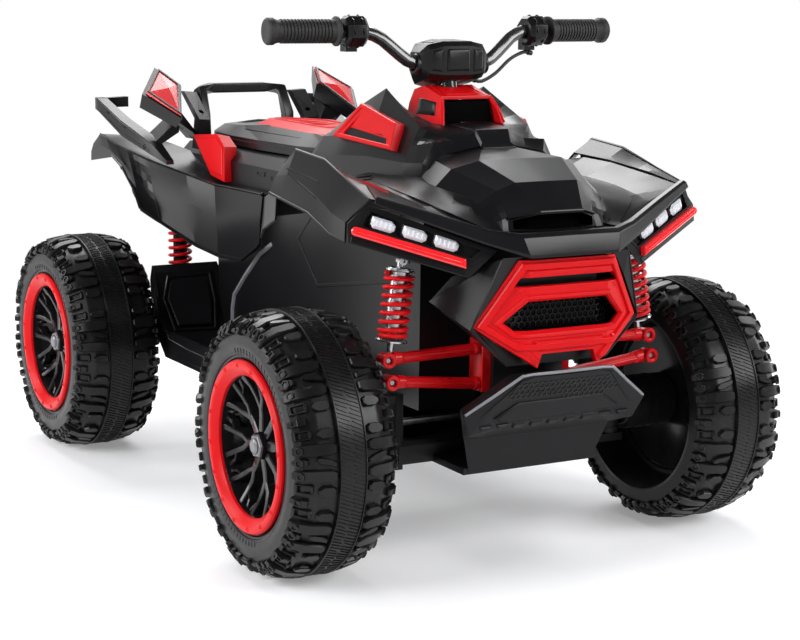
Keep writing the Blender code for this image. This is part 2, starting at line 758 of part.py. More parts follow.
def make_spring(name, foot, head, curls):
    """A coil between two points, one unbroken round wire."""
    foot, head = Vector(foot), Vector(head)
    points = coil((head - foot).length, curls, 2 * WIRE_RADIUS + 0.0011)
    least_gap(name, points)
    turn = (head - foot).to_track_quat("Z", "Y").to_matrix()
    placed = [foot + turn @ p for p in points]
    return smooth(paint(tube(name, placed, WIRE_RADIUS, 1), "red"))


def make_rear_springs():
    for side, word in SIDES:
        x = side * SPRING_X
        foot = (x, REAR_Y, TYRE_RADIUS + 0.031 + GAP)
        head = (x, REAR_Y, SPRING_TOWER_Z + TYRE_RADIUS - 0.16 - GAP)
        make_spring(f"rear_spring_{word}", foot, head, REAR_CURLS)


def damper_axis(side):
    foot, head = front(*DAMPER_FOOT), front(*DAMPER_HEAD)
    foot.x *= side
    head.x *= side
    return foot, head, (head - foot).normalized()


def make_front_dampers():
    """Damper: foot rod, lower cup, tube, upper cup and head rod, with its spring between the cups."""
    for side, word in SIDES:
        foot, head, along = damper_axis(side)
        length = (head - foot).length
        profile = [
            (-0.0118, 0), (-0.0118, 0.0042), (0, 0.0042), (0, 0.0195), (0.0040, 0.0195), (0.0040, 0.0108),
            (length - 0.004, 0.0108), (length - 0.004, 0.0178), (length, 0.0178), (length, 0.0046),
            (length + 0.0105, 0.0046), (length + 0.0105, 0),
        ]
        smooth(paint(turned(f"front_damper_{word}", profile, 12, foot, along), "steel"))
        low, high = foot + along * (0.004 + GAP), head - along * (0.004 + GAP)
        make_spring(f"front_spring_{word}", low, high, FRONT_CURLS)


def make_front_arms():
    """Twin arms on both sides, moulded in one cradle that clips round the front tower."""
    f = FRONT_Y
    lift = TYRE_RADIUS - 0.16
    cradle = box("front_arms", (-0.062, f - 0.0517, 0.213 + lift), (0.062, f - 0.043, 0.276 + lift))
    tools = []
    for side, _ in SIDES:
        x = sorted((side * 0.0504, side * 0.0625))
        tools.append(box("cheek", (x[0], f - 0.074, 0.2135 + lift), (x[1], f - 0.0435, 0.2755 + lift)))
        for inner, outer in (((0.056, -0.425, 0.2660), (KINGPIN_X + 0.013, -0.419, 0.2620)),
                             ((0.056, -0.425, 0.2220), (KINGPIN_X + 0.012, -0.427, 0.2370))):
            start, end = front(side * inner[0], *inner[1:]), front(side * outer[0], *outer[1:])
            tools.append(rod("arm", start, end, ARM_RADIUS, 10))
            tools.append(rod("eye", end - Vector((0, 0.010, 0)), end + Vector((0, 0.008, 0)), 0.0082, 10))
    return paint(fuse(cradle, *tools), "red")


def make_hood():
    """The nose skin: raised centre, valleys, lamp shelves, intake step and lip."""
    rows = [
        [None, None, None, (0.0980, -0.215, 0.461), (0.150, -0.213, 0.452), (0.1885, -0.210, 0.464)],
        [None, None, None, (0.0980, -0.275, 0.462), (0.150, -0.272, 0.455), (0.1900, -0.270, 0.474)],
        [(0, -0.35, 0.502), (0.017, -0.35, 0.502), (0.083, -0.344, 0.487), (0.098, -0.343, 0.466),
         (0.150, -0.335, 0.455), (0.1920, -0.330, 0.472)],
        [(0, -0.411, 0.4915), (0.0588, -0.411, 0.4908), (0.088, -0.395, 0.480), (0.108, -0.390, 0.458),
         (0.155, -0.390, 0.451), (0.2010, -0.400, 0.4625)],
        [(0, -0.470, 0.470), (0.0433, -0.468, 0.4694), (0.065, -0.4624, 0.4602), (0.095, -0.452, 0.439),
         (0.152, -0.440, 0.444), (0.2135, -0.4445, 0.4535)],
        [(0, -0.5013, 0.438), (0.0300, -0.5013, 0.438), (0.060, -0.479, 0.430), (0.092, -0.480, 0.422),
         (0.155, -0.462, 0.438), (0.2150, -0.4475, 0.4538)],
        [(0, -0.4995, 0.4135), (0.0310, -0.4995, 0.4135), (0.062, -0.4845, 0.4145), (0.094, -0.490, 0.4165),
         (0.157, -0.4685, 0.4355), (0.2175, -0.4490, 0.4542)],
        [(0, -0.519, 0.413), (0.035, -0.519, 0.413), (0.0693, -0.516, 0.413), (0.100, -0.500, 0.4145),
         (0.160, -0.474, 0.4335), (0.2200, -0.4500, 0.4540)],
        [(0, -0.5324, 0.391), (0.030, -0.5324, 0.391), (0.0607, -0.5324, 0.391), (0.105, -0.510, 0.4060),
         (0.164, -0.480, 0.4290), (0.2222, -0.4510, 0.4525)],
    ]
    placed = [mirrored_row([None if p is None else front(*p) for p in row]) for row in rows]
    return paint(carve(panel("hood", placed), body_block()), "black")


def body_rows():
    """Half sections of the tank, tunnel and rear deck, front to back, from the middle outwards."""
    rows = [
        [(0, -0.356, 0.5035), (0.0166, -0.356, 0.5035), (0.046, -0.3515, 0.498), (0.0735, -0.349, 0.493),
         (0.0910, -0.3470, 0.4780), (0.1000, -0.3460, 0.3600), (0.1000, -0.3460, 0.1760)],
        [(0, -0.3453, 0.5195), (0.0217, -0.3453, 0.5195), (0.052, -0.336, 0.5085), (0.08, -0.34, 0.507),
         (0.0945, -0.3380, 0.4820), (0.1005, -0.3380, 0.3600), (0.1000, -0.3380, 0.1760)],
        [(0, -0.303, 0.524), (0.04, -0.303, 0.5235), (0.079, -0.303, 0.5235), (0.091, -0.303, 0.501),
         (0.1010, -0.3030, 0.4800), (0.1030, -0.3030, 0.3600), (0.1000, -0.3030, 0.1760)],
        [(0, -0.205, 0.527), (0.045, -0.205, 0.529), (0.0725, -0.205, 0.5655), (0.096, -0.205, 0.502),
         (0.1020, -0.2050, 0.4800), (0.1040, -0.2050, 0.3600), (0.1000, -0.2050, 0.1740)],
        [(0, -0.13, 0.515), (0.045, -0.13, 0.52), (0.0715, -0.13, 0.538), (0.092, -0.13, 0.5),
         (0.1030, -0.1300, 0.4750), (0.1040, -0.1300, 0.3600), (0.1000, -0.1300, 0.1720)],
    ]
    placed = [[front(*p) for p in row] for row in rows]
    waist = [(0, 0.496), (0.04, 0.498), (0.066, 0.503), (0.084, 0.493), (0.1000, 0.4620), (0.1040, 0.3600),
             (0.1000, 0.1720)]
    placed.append([Vector((x, WAIST_Y, z + TYRE_RADIUS - 0.16)) for x, z in waist])
    top = SEAT_BASE - GAP - 0.0002
    deck = ((0.002, 0.36, 0.172), (0.262, 0.37, 0.172), (0.27, 0.38, 0.352), (SEAT_END + 0.044, 0.4, 0.352))
    for y, middle, bottom in deck:
        placed.append([rear(0, y, top), rear(0.04, y, top - 0.0003),
                       rear(0.07, y, top - 0.001), rear(0.086, y, top - 0.004),
                       rear(0.1000, y, 0.436), rear(0.1045, y, middle), rear(0.1000, y, bottom)])
    return placed


def body_block():
    """The main body's outside as a solid, grown by the gap, to seat other pieces on it."""
    block = loft("body_block", [mirrored(row) for row in body_rows()])
    bm = bmesh.new()
    bm.from_mesh(block.data)
    bmesh.ops.triangulate(bm, faces=bm.faces, quad_method="SHORT_EDGE")
    bm.normal_update()
    for vert, reach in [(vert, vert.normal * GAP * 1.6) for vert in bm.verts]:
        vert.co += reach
    bm.to_mesh(block.data)
    bm.free()
    return block


def make_main_body():
    """Tank, tunnel and rear deck in one skin, open below, with the steering hole."""
    shell = panel("main_body", [mirrored_row(row) for row in body_rows()], close_end=True)
    hole = rod("column_way", column_at(0.49), column_at(0.56), COLUMN_RADIUS + 0.003, 16)
    return paint(carve(shell, hole), "black")


def make_cowl():
    """The red arch over the steering neck, open to the front."""
    rows = []
    for y, high, foot_y, foot_wide, foot in ((-0.212, COWL_TOP - 0.0060, -0.206, 0.044, 0.5250),
                                             (-0.236, COWL_TOP, -0.236, 0.047, 0.5250),
                                             (-0.2835, COWL_TOP - 0.0125, -0.3025, 0.046, 0.5200)):
        half = [front(0, y, high), front(0.0356, y, high), front(0.041, (y + foot_y) / 2, (high + 0.530) / 2),
                front(foot_wide, foot_y, foot)]
        rows.append(mirrored_row(half))
    arch = panel("steering_cowl", rows, 0.003)
    hole = rod("column_way", column_at(0.55), column_at(0.60), COLUMN_RADIUS + 0.003, 16)
    return paint(carve(arch, hole, body_block()), "red")


def make_vents():
    """Red-framed vents on the outer faces of the tank's shoulders."""
    for side, word in SIDES:
        outer = at_side(side, [front(0.1005, -0.110, 0.4985), front(0.0890, -0.170, 0.5450),
                               front(0.0950, -0.272, 0.5270), front(0.1070, -0.281, 0.4935)])
        inner = [p + Vector((-side * 0.016, 0, -0.004)) for p in outer]
        vent = loft(f"tank_vent_{word}", [inner, outer])
        middle = sum(outer, Vector()) / 4
        pocket = [[middle + (p - middle) * 0.74 + Vector((side * lift, 0, lift * 0.6)) for p in outer]
                  for lift in (-0.0035, 0.008)]
        paint(carve(vent, loft("pocket", pocket), body_block()), "red")


LAMP_OUT = (0.2465, -0.4330, 0.4265)
LAMP_LOW = (0.2465, -0.4365, 0.4060)
LAMP_INNER = (0.1210, -0.4950, 0.3650)
LAMP_CORNERS = ((0.2245, 0.4490), (0.2465, 0.4265), (0.2465, 0.4060), (0.1210, 0.3650), (0.0880, 0.3960))


def lamp_face():
    """Lower outer corner, direction inwards, direction up, and the outward normal (+X side)."""
    out, low, inner = front(*LAMP_OUT), front(*LAMP_LOW), front(*LAMP_INNER)
    along = (inner - low).normalized()
    normal = along.cross(out - low).normalized()
    normal = normal if normal.y < 0 else -normal
    up = normal.cross(along).normalized()
    up = up if up.z > 0 else -up
    return low, along, up, normal


def on_lamp_face(x, z):
    low, along, up, normal = lamp_face()
    place = front(x, 0, z)
    place.y = low.y - (normal.x * (place.x - low.x) + normal.z * (place.z - low.z)) / normal.y
    return place


def make_headlamps():
    """Lamp housings, the strips of three lamps and the light bars, built on one slanted face."""
    low, along, up, normal = lamp_face()
    face = [on_lamp_face(x, z) for x, z in LAMP_CORNERS]
    middle = sum(face, Vector()) / 5
    flange = [p + Vector((0, 0.0020, 0)) for p in face]
    step = [p + (middle - p).normalized() * 0.0125 for p in flange]
    back = [front(*p) for p in ((0.204, -0.398, 0.4390), (0.225, -0.398, 0.4200), (0.225, -0.398, 0.4000),
                                (0.1230, -0.440, 0.3760), (0.0950, -0.4700, 0.3930))]

    def slab(name, side, start, length, bottom, height, thick, rise, slant):
        corners = []
        for depth in (rise, rise + thick):
            ring = [(start, bottom), (start + length, bottom), (start + length - slant, bottom + height),
                    (start + slant, bottom + height)]
            corners.append(at_side(side, [low + along * a + up * b + normal * depth for a, b in ring]))
        return loft(name, corners)

    for side, word in SIDES:
        rings = [at_side(side, ring) for ring in (back, step, flange, face)]
        paint(loft(f"headlamp_housing_{word}", rings), "black")
        plate = slab(f"headlamp_lens_{word}", side, 0.014, 0.118, 0.0245, 0.0035, 0.0035, 0.0004, 0.001)
        starts = [0.018 + k * 0.038 for k in range(3)]
        lamps = [slab("lamp", side, start, 0.028, 0.0235, 0.015, 0.006, 0.0009, 0.002) for start in starts]
        paint(fuse(plate, *lamps), "lamp")
        bar = slab(f"light_bar_{word}", side, 0.003, 0.136, 0.0095, 0.0105, 0.007, 0.0004, 0.003)
        paint(bar, "red")


def make_front_fenders():
    """Front fender skins: inner edge, crest and outer face, from the rear tip to the lamp."""
    rows = [
        [(0.1905, -0.205, 0.446), (0.222, -0.217, 0.4775), (0.23, -0.209, 0.46), (0.237, -0.203, 0.438)],
        [(0.191, -0.245, 0.478), (0.22, -0.245, 0.496), (0.232, -0.244, 0.465), (0.2385, -0.24, 0.434)],
        [(0.194, -0.318, 0.475), (0.218, -0.32, 0.49), (0.236, -0.321, 0.453), (0.243, -0.322, 0.4265)],
        [(0.203, -0.395, 0.466), (0.2205, -0.39, 0.4695), (0.242, -0.385, 0.434), (0.2455, -0.385, 0.409)],
        [(0.216, -0.443, 0.4545), (0.2235, -0.4416, 0.456), (0.246, -0.4266, 0.4285), (0.2475, -0.4276, 0.405)],
    ]
    for side, word in SIDES:
        placed = [at_side(side, [front(*p) for p in row]) for row in rows]
        paint(panel(f"front_fender_{word}", placed), "black")


GRILLE_OUTLINE = [(0.067, 0.3855), (0.1153, 0.307), (0.042, 0.2575), (0.036, 0.274)]
GRILLE_SLOT = [(0.064, 0.3650), (0.0765, 0.3540)]
GRILLE_MOUTH = [(0.0550, 0.3380), (0.0850, 0.3105), (0.0660, 0.2990)]
GRILLE_FRONT = -0.5225
GRILLE_DEPTH = 0.010
GRILLE_FLAT = 0.055


def both_sides(half):
    return half + [(-x, z) for x, z in reversed(half)]


def bent_plate(name, loops, y_front, depth):
    """Outlines extruded backwards, swept back on both sides of the nose."""
    plate = outline_plate(name, [both_sides(loop) for loop in loops], front(0, y_front, 0).y, depth)
    bm = bmesh.new()
    bm.from_mesh(plate.data)
    for x in (-GRILLE_FLAT, GRILLE_FLAT):
        everything = [*bm.verts, *bm.edges, *bm.faces]
        bmesh.ops.bisect_plane(bm, geom=everything, plane_co=(x, 0, 0), plane_no=(1, 0, 0))
    for vert in bm.verts:
        vert.co.y += max(0.0, abs(vert.co.x) - GRILLE_FLAT) * 0.46
        vert.co.z += TYRE_RADIUS - 0.16
    bm.to_mesh(plate.data)
    bm.free()
    return plate


def make_fascia():
    """Black nose frame round the grille, swept back at the sides, with the honeycomb's pocket."""
    face = [(0.0880, -0.5160, 0.3890), (0.1190, -0.4960, 0.3035), (0.0714, -0.5000, 0.2580)]
    wing = [(0.1120, -0.4400, 0.3580), (0.1300, -0.4200, 0.3270), (0.0800, -0.4400, 0.2820)]
    back = [(0.0870, -0.4384, 0.3600), (0.0870, -0.4384, 0.3270), (0.0700, -0.4384, 0.2820)]
    rings = [mirrored([front(*p) for p in ring]) for ring in (back, wing, face)]
    fascia = loft("front_fascia", rings)
    grown = [(0.0677, 0.3863), (0.1163, 0.3071), (0.0430, 0.2560), (0.0430, 0.2400)]
    seat = bent_plate("seat", [grown], -0.60, 0.60 + GRILLE_FRONT + GRILLE_DEPTH + GAP)
    mouth = [(0.0560, 0.3740), (0.0800, 0.3500), (0.0900, 0.3105), (0.0680, 0.2950)]
    pocket = bent_plate("pocket", [mouth], -0.60, 0.60 - 0.4980)
    return paint(carve(fascia, seat, pocket), "black")


def make_grille():
    """The red grille frame, cut from one outline and bent back past its middle."""
    loops = [GRILLE_OUTLINE, GRILLE_SLOT, GRILLE_MOUTH]
    return paint(bent_plate("grille_frame", loops, GRILLE_FRONT, GRILLE_DEPTH), "red")


def make_bumper():
    """Front bumper and skid: a faceted block below the grille."""
    face = [(0.0634, -0.5265, 0.2530), (0.1300, -0.5020, 0.2050), (0.1165, -0.4960, 0.1780),
            (0.0600, -0.4970, 0.1880)]
    skid = [(0.0634, -0.4960, 0.2470), (0.1150, -0.4700, 0.2050), (0.1050, -0.4620, 0.1660),
            (0.0600, -0.4620, 0.1640)]
    back = [(0.0500, -0.4520, 0.1900), (0.0900, -0.4505, 0.1700), (0.0900, -0.4505, 0.1200),
            (0.0500, -0.4505, 0.1200)]
    rings = [mirrored([front(*p) for p in ring]) for ring in (back, skid, face)]
    return paint(loft("front_bumper", rings), "black")


def make_running_boards():
    """Footwell trays: floor, outer rim and the rear wall that rises behind the foot."""
    inner, outer = TUB_HALF_WIDTH + GAP, BOARD_OUTER
    t = BOARD_THICK
    for side, word in SIDES:
        profile = [front(0, -0.178, 0.15), rear(0, 0.232, 0.148), rear(0, 0.281, 0.19), rear(0, 0.29, 0.256),
                   rear(0, 0.2820, 0.2780), rear(0, 0.2700, 0.2690), rear(0, 0.2560, 0.2030),
                   rear(0, 0.2180, 0.150 + t), front(0, -0.178, 0.150 + t)]
        ends = [[Vector((side * x, p.y, p.z)) for p in profile] for x in (inner, outer)]
        tray = loft(f"running_board_{word}", ends)
        low = front(side * (outer - 0.010), -0.178, 0.150)
        high = rear(side * outer, 0.236, 0.150 + t + 0.020)
        rim = box("rim", [min(a, b) for a, b in zip(low, high)], [max(a, b) for a, b in zip(low, high)])
        paint(carve(fuse(tray, rim), body_block()), "black")


PEDAL_Z = 0.166
PEDAL_X = (TUB_HALF_WIDTH + BOARD_OUTER) / 2 + 0.00075


def make_pedal(markers):
    """Foot pedal on the right board, hinged at its rear edge."""
    hinge = front(-PEDAL_X, -0.040, PEDAL_Z + 0.006)
    marker = empty("pedal_axis", hinge)
    plate = loft("foot_pedal", [
        [hinge + Vector((x, y, z)) for x, y, z in ((-0.024, 0.002, -0.0036), (0.024, 0.002, -0.0036),
                                                  (0.024, 0.002, 0.002), (-0.024, 0.002, 0.002))],
        [hinge + Vector((x, y, z)) for x, y, z in ((-0.021, -0.070, 0.012), (0.021, -0.070, 0.012),
                                                  (0.021, -0.070, 0.017), (-0.021, -0.070, 0.017))],
    ])
    hinge_bar = rod("bar", hinge + Vector((-0.028, 0, 0)), hinge + Vector((0.028, 0, 0)), 0.0056, 12)
    ride(paint(fuse(plate, hinge_bar), "grey"), marker)
    markers["pedal"] = marker


def make_seat():
    """Saddle: a black moulded base with a red insert let into its top."""
    def ring(y, wide, crown):
        return [rear(-wide, y, SEAT_BASE), rear(wide, y, SEAT_BASE), rear(wide, y, SEAT_BASE + 0.014),
                rear(wide * 0.72, y, crown - 0.004), rear(0, y, crown), rear(-wide * 0.72, y, crown - 0.004),
                rear(-wide, y, SEAT_BASE + 0.014)]

    w, top, end = SEAT_HALF_WIDTH, SEAT_TOP, SEAT_END
    rings = [ring(0.008, 0.052, top - 0.010), ring(0.060, 0.070, top - 0.002), ring(0.170, w, top),
             ring(end - 0.094, w, top - 0.008), ring(end - 0.034, w * 0.96, top - 0.01),
             ring(end, w * 0.82, top - 0.012)]
    seat = loft("seat", rings)
    outline = [(0.036, 0.020), (0.052, 0.060), (0.058, 0.170), (0.040, end - 0.104), (0.012, end - 0.064)]
    whole = outline + [(-x, y) for x, y in reversed(outline)]

    def plug(name, z_low, z_high, grow):
        rings = [[rear(x * grow, 0.16 + (y - 0.16) * grow, z) for x, y in whole] for z in (z_low, z_high)]
        return loft(name, rings)

    seat = carve(seat, plug("pocket", top - 0.016, top + 0.05, 1.0))
    paint(seat, "black")
    insert = loft("seat_insert", [
        [rear(x * 0.985, 0.16 + (y - 0.16) * 0.994, top - 0.016 + GAP) for x, y in whole],
        [rear(x * 0.985, 0.16 + (y - 0.16) * 0.994, top - 0.006 - abs(y - 0.15) * 0.03) for x, y in whole],
        [rear(x * 0.70, 0.16 + (y - 0.16) * 0.86, top + 0.002 - abs(y - 0.15) * 0.03) for x, y in whole],
    ])
    return paint(insert, "red")


def make_rear_fenders():
    """Rear side skins: from behind the knee, outwards over the wheel, to the tail."""
    rows = [
        [(0.0980, 0.060, 0.4040), (0.1200, 0.067, 0.4030), (0.1200, 0.076, 0.3650), (0.1180, 0.084, 0.3260)],
        [(0.0980, 0.150, 0.4030), (0.1230, 0.150, 0.4025), (0.1240, 0.145, 0.3600), (0.1200, 0.135, 0.2990)],
        [(0.0980, 0.222, 0.4020), (0.1260, 0.222, 0.4020), (0.1280, 0.212, 0.3560), (0.1280, 0.205, 0.2960)],
        [(0.0980, 0.290, 0.4110), (0.1450, 0.283, 0.4125), (0.1480, 0.262, 0.3700), (0.1480, 0.243, 0.3080)],
        [(0.0940, 0.368, 0.4360), (0.1780, 0.353, 0.4290), (0.1770, 0.335, 0.3800), (0.1740, 0.315, 0.3350)],
        [(0.1120, 0.410, 0.4460), (0.1930, 0.400, 0.4400), (0.1980, 0.362, 0.4040), (0.2000, 0.331, 0.3560)],
        [(0.1180, 0.445, 0.4500), (0.1980, 0.440, 0.4480), (0.2020, 0.400, 0.4230), (0.2020, 0.352, 0.3820)],
        [(0.1250, 0.475, 0.4530), (0.2000, 0.475, 0.4560), (0.2020, 0.450, 0.4360), (0.2020, 0.400, 0.4120)],
        [(0.1300, 0.500, 0.4530), (0.2000, 0.500, 0.4580), (0.2020, 0.490, 0.4400), (0.2020, 0.445, 0.4260)],
        [(0.1500, 0.530, 0.4370), (0.2000, 0.532, 0.4400), (0.2020, 0.537, 0.4270), (0.2020, 0.538, 0.4130)],
    ]
    for side, word in SIDES:
        placed = [at_side(side, [rear(*p) for p in row]) for row in rows]
        paint(carve(panel(f"rear_fender_{word}", placed), body_block()), "black")


def make_rear_trims():
    """Red wedge panels between the seat's rear corners and the fenders."""
    outer = [(0.1135, 0.33, 0.467), (0.1095, 0.248, 0.474), (0.1095, 0.222, 0.457), (0.114, 0.212, 0.406),
             (0.1140, 0.262, 0.4120)]
    inner = [(0.096, 0.33, 0.464), (0.09, 0.248, 0.47), (0.09, 0.222, 0.456), (0.1, 0.212, 0.406),
             (0.1000, 0.262, 0.4120)]
    for side, word in SIDES:
        rings = [at_side(side, [rear(*p) for p in ring]) for ring in (inner, outer)]
        paint(carve(loft(f"rear_trim_{word}", rings), body_block()), "red")


BLADE_FRONT = [(0.1495, 0.287, 0.4945), (0.1806, 0.367, 0.5275), (0.1362, 0.427, 0.564), (0.116, 0.369, 0.5395)]
BLADE_BACK = [(0.15, 0.308, 0.48), (0.1796, 0.381, 0.506), (0.139, 0.435, 0.54), (0.117, 0.383, 0.516)]


def blade_core(side, gap=0.0005):
    """The blade holder's block, or one grown towards its lens."""
    ahead = Vector((0, -gap, gap))
    rings = [[rear(*p) + ahead for p in ring] for ring in (BLADE_FRONT, BLADE_BACK)]
    return loft("blade", [at_side(side, ring) for ring in rings])


def make_rear_brackets():
    """Post with its oval hole, blade holder and the rack rail with its hooked end."""
    for side, word in SIDES:
        def ring(*points):
            return at_side(side, [rear(*p) for p in points])

        post = loft(f"rear_bracket_{word}", [
            ring((0.081, 0.338, 0.454), (0.1035, 0.333, 0.444), (0.1035, 0.358, 0.444), (0.081, 0.362, 0.454)),
            ring((0.082, 0.338, 0.488), (0.102, 0.332, 0.490), (0.102, 0.352, 0.490), (0.082, 0.360, 0.488)),
            ring((0.081, 0.392, 0.527), (0.104, 0.386, 0.529), (0.104, 0.402, 0.529), (0.081, 0.408, 0.527)),
        ])
        blade = blade_core(side, 0)
        neck = loft("neck", [
            ring((0.096, 0.34, 0.46), (0.112, 0.338, 0.46), (0.112, 0.362, 0.46), (0.096, 0.366, 0.46)),
            ring((0.124, 0.356, 0.502), (0.15, 0.34, 0.496), (0.15, 0.376, 0.506), (0.124, 0.39, 0.518)),
        ])
        link = loft("link", [
            ring((0.13, 0.345, 0.47), (0.13, 0.375, 0.47), (0.13, 0.375, 0.499), (0.13, 0.345, 0.49)),
            ring((0.166, 0.352, 0.446), (0.166, 0.385, 0.456), (0.166, 0.385, 0.464), (0.166, 0.352, 0.456)),
        ])
        rail = loft("rail", [
            ring((0.15, 0.318, 0.424), (0.162, 0.316, 0.424), (0.162, 0.318, 0.43), (0.15, 0.32, 0.43)),
            ring((0.158, 0.352, 0.44), (0.176, 0.35, 0.4375), (0.176, 0.354, 0.457), (0.158, 0.356, 0.459)),
            ring((0.176, 0.43, 0.464), (0.192, 0.428, 0.46), (0.192, 0.43, 0.484), (0.176, 0.432, 0.486)),
            ring((0.186, 0.5, 0.493), (0.202, 0.5, 0.493), (0.202, 0.502, 0.513), (0.186, 0.502, 0.513)),
            ring((0.184, 0.52, 0.496), (0.2, 0.52, 0.496), (0.2, 0.52, 0.514), (0.184, 0.52, 0.514)),
        ])
        hook = loft("hook", [
            ring((0.15, 0.505, 0.499), (0.15, 0.52, 0.499), (0.15, 0.52, 0.515), (0.15, 0.505, 0.515)),
            ring((0.196, 0.505, 0.4985), (0.196, 0.519, 0.4985), (0.196, 0.519, 0.513), (0.196, 0.505, 0.513)),
        ])
        bracket = fuse(post, neck, blade, link, rail, hook)
        hole = rod("oval", rear(side * 0.091, 0.310, 0.5340), rear(side * 0.091, 0.383, 0.4720), 0.0045, 10)
        paint(carve(bracket, hole, body_block()), "black")
        lens = loft(f"blade_lens_{word}", [
            ring((0.149, 0.293, 0.497), (0.1765, 0.365, 0.527), (0.1355, 0.418, 0.56), (0.119, 0.37, 0.538)),
            ring((0.148, 0.291, 0.5), (0.1745, 0.361, 0.531), (0.1355, 0.413, 0.5625), (0.12, 0.367, 0.541)),
        ])
        lens = carve(lens, blade_core(side))
        paint(lens, "red")


def make_rear_handle():
    """The hoop behind the seat: a flat bar between two legs that stand on the deck."""
    route = [(0.0705, 0.018, 0.442), (0.0715, 0.021, 0.492), (0.07, 0.040, 0.529), (0.0459, 0.054, 0.5315)]
    half = [rear(x, SEAT_END + back, z) for x, back, z in route]
    path = [Vector((-p.x, p.y, p.z)) for p in half] + half[::-1]
    rings = []
    for k, point in enumerate(path):
        before, after = path[max(k - 1, 0)], path[min(k + 1, len(path) - 1)]
        along = (after - before).normalized()
        if k in (0, len(path) - 1):
            along = Vector((0, 0, 1 if k == 0 else -1))
        deep = Vector((0, 1, 0))
        wide = along.cross(deep).normalized()
        deep = wide.cross(along).normalized()
        rings.append([point + wide * a + deep * b for a, b in ((-0.0075, -0.009), (0.0075, -0.009),
                                                             (0.0075, 0.009), (-0.0075, 0.009))])
    return paint(carve(loft("rear_handle", rings), body_block()), "black")


def make_battery():
    low, lift = FLOOR_Z + FLOOR_THICK + GAP, TYRE_RADIUS - 0.16
    case = box("battery", front(-0.045, -0.12, low), front(0.045, -0.12 + 0.150, low + 0.090))
    return paint(case, "grey")


def main():
    markers = {}
    make_wheels(markers)
    make_chassis()
    make_steering(markers)
    make_knuckles(markers)
    make_tie_rod(markers)
    make_swing_arm(markers)
    make_rear_springs()
    make_front_dampers()
    make_front_arms()
    make_hood()
    make_main_body()
    make_cowl()
    make_vents()
    make_headlamps()
    make_front_fenders()
    make_fascia()
    make_grille()
    make_bumper()
    make_running_boards()
    make_pedal(markers)
    make_seat()
    make_rear_fenders()
    make_rear_trims()
    make_rear_brackets()
    make_rear_handle()
    make_battery()


main()
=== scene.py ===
import math

import bmesh
import bpy
from mathutils import Matrix, Vector
from mathutils.bvhtree import BVHTree


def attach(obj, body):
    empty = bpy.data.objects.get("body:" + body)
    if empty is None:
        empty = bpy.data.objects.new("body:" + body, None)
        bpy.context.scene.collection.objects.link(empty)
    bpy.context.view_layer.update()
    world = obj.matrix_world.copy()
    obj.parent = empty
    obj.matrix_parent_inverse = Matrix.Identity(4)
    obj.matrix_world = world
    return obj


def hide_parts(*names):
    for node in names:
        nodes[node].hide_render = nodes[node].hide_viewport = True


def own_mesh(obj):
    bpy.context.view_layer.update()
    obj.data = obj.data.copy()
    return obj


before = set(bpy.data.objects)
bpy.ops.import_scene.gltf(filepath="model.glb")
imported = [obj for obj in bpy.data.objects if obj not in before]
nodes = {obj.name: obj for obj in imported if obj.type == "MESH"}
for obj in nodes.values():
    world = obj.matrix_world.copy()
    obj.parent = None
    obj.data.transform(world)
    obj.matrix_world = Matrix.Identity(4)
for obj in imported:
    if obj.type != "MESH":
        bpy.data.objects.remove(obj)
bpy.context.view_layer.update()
sides = ((-1, "right"), (1, "left"))    # the rider's right is -X, and the front faces -Y
print("frame loaded:", len(nodes), "nodes")


# Camera, at the photograph's place and angle
camera = {
    "place": (-1.2215, -2.3013, 0.6998),
    "right": (0.8737, -0.4864, 0.0112),
    "up": (0.0774, 0.1616, 0.9838),
    "forward": (0.4803, 0.8587, -0.1788),
    "lens": 83.9,
}


def makeCamera():
    lens = bpy.data.cameras.new("camera")
    lens.lens = camera["lens"]
    lens.sensor_width = 36
    lens.clip_start = 0.05
    eye = bpy.data.objects.new("camera", lens)
    bpy.context.scene.collection.objects.link(eye)
    back = -Vector(camera["forward"])
    axes = Matrix((camera["right"], camera["up"], back)).transposed()
    eye.matrix_world = Matrix.Translation(camera["place"]) @ axes.to_4x4()
    bpy.context.scene.camera = eye


# Mesh tools

def link(obj):
    bpy.context.scene.collection.objects.link(obj)
    return obj


def shell(name, bm, weld=2e-6):    # closed mesh with its faces outwards
    bmesh.ops.remove_doubles(bm, verts=bm.verts, dist=weld)
    bmesh.ops.recalc_face_normals(bm, faces=bm.faces)
    mesh = bpy.data.meshes.new(name)
    bm.to_mesh(mesh)
    bm.free()
    return link(bpy.data.objects.new(name, mesh))


def bakeModifiers(obj):    # its modifiers become plain mesh
    graph = bpy.context.evaluated_depsgraph_get()
    mesh = bpy.data.meshes.new_from_object(obj.evaluated_get(graph))
    obj.modifiers.clear()
    obj.data = mesh
    return obj


def joined(name, parts):    # several shells in one object
    bm = bmesh.new()
    for part in parts:
        bm.from_mesh(part.data)
        bpy.data.objects.remove(part, do_unlink=True)
    mesh = bpy.data.meshes.new(name)
    bm.to_mesh(mesh)
    bm.free()
    return link(bpy.data.objects.new(name, mesh))


def roundEdges(obj, width, segments=2, angle=26, clamp=True):
    obj.data.shade_smooth()
    bevel = obj.modifiers.new("edges", "BEVEL")
    bevel.width = width
    bevel.segments = segments
    bevel.limit_method = "ANGLE"
    bevel.angle_limit = math.radians(angle)
    bevel.harden_normals = True
    bevel.use_clamp_overlap = clamp
    return bakeModifiers(obj)


def softShade(obj, angle=32):
    obj.data.shade_smooth()
    obj.data.set_sharp_from_angle(angle=math.radians(angle))
    return obj


def crisp(obj, angle=32):    # flat facets with softly rounded creases between them
    softShade(obj, angle)
    flat = obj.modifiers.new("flat", "WEIGHTED_NORMAL")
    flat.keep_sharp = True
    return bakeModifiers(obj)


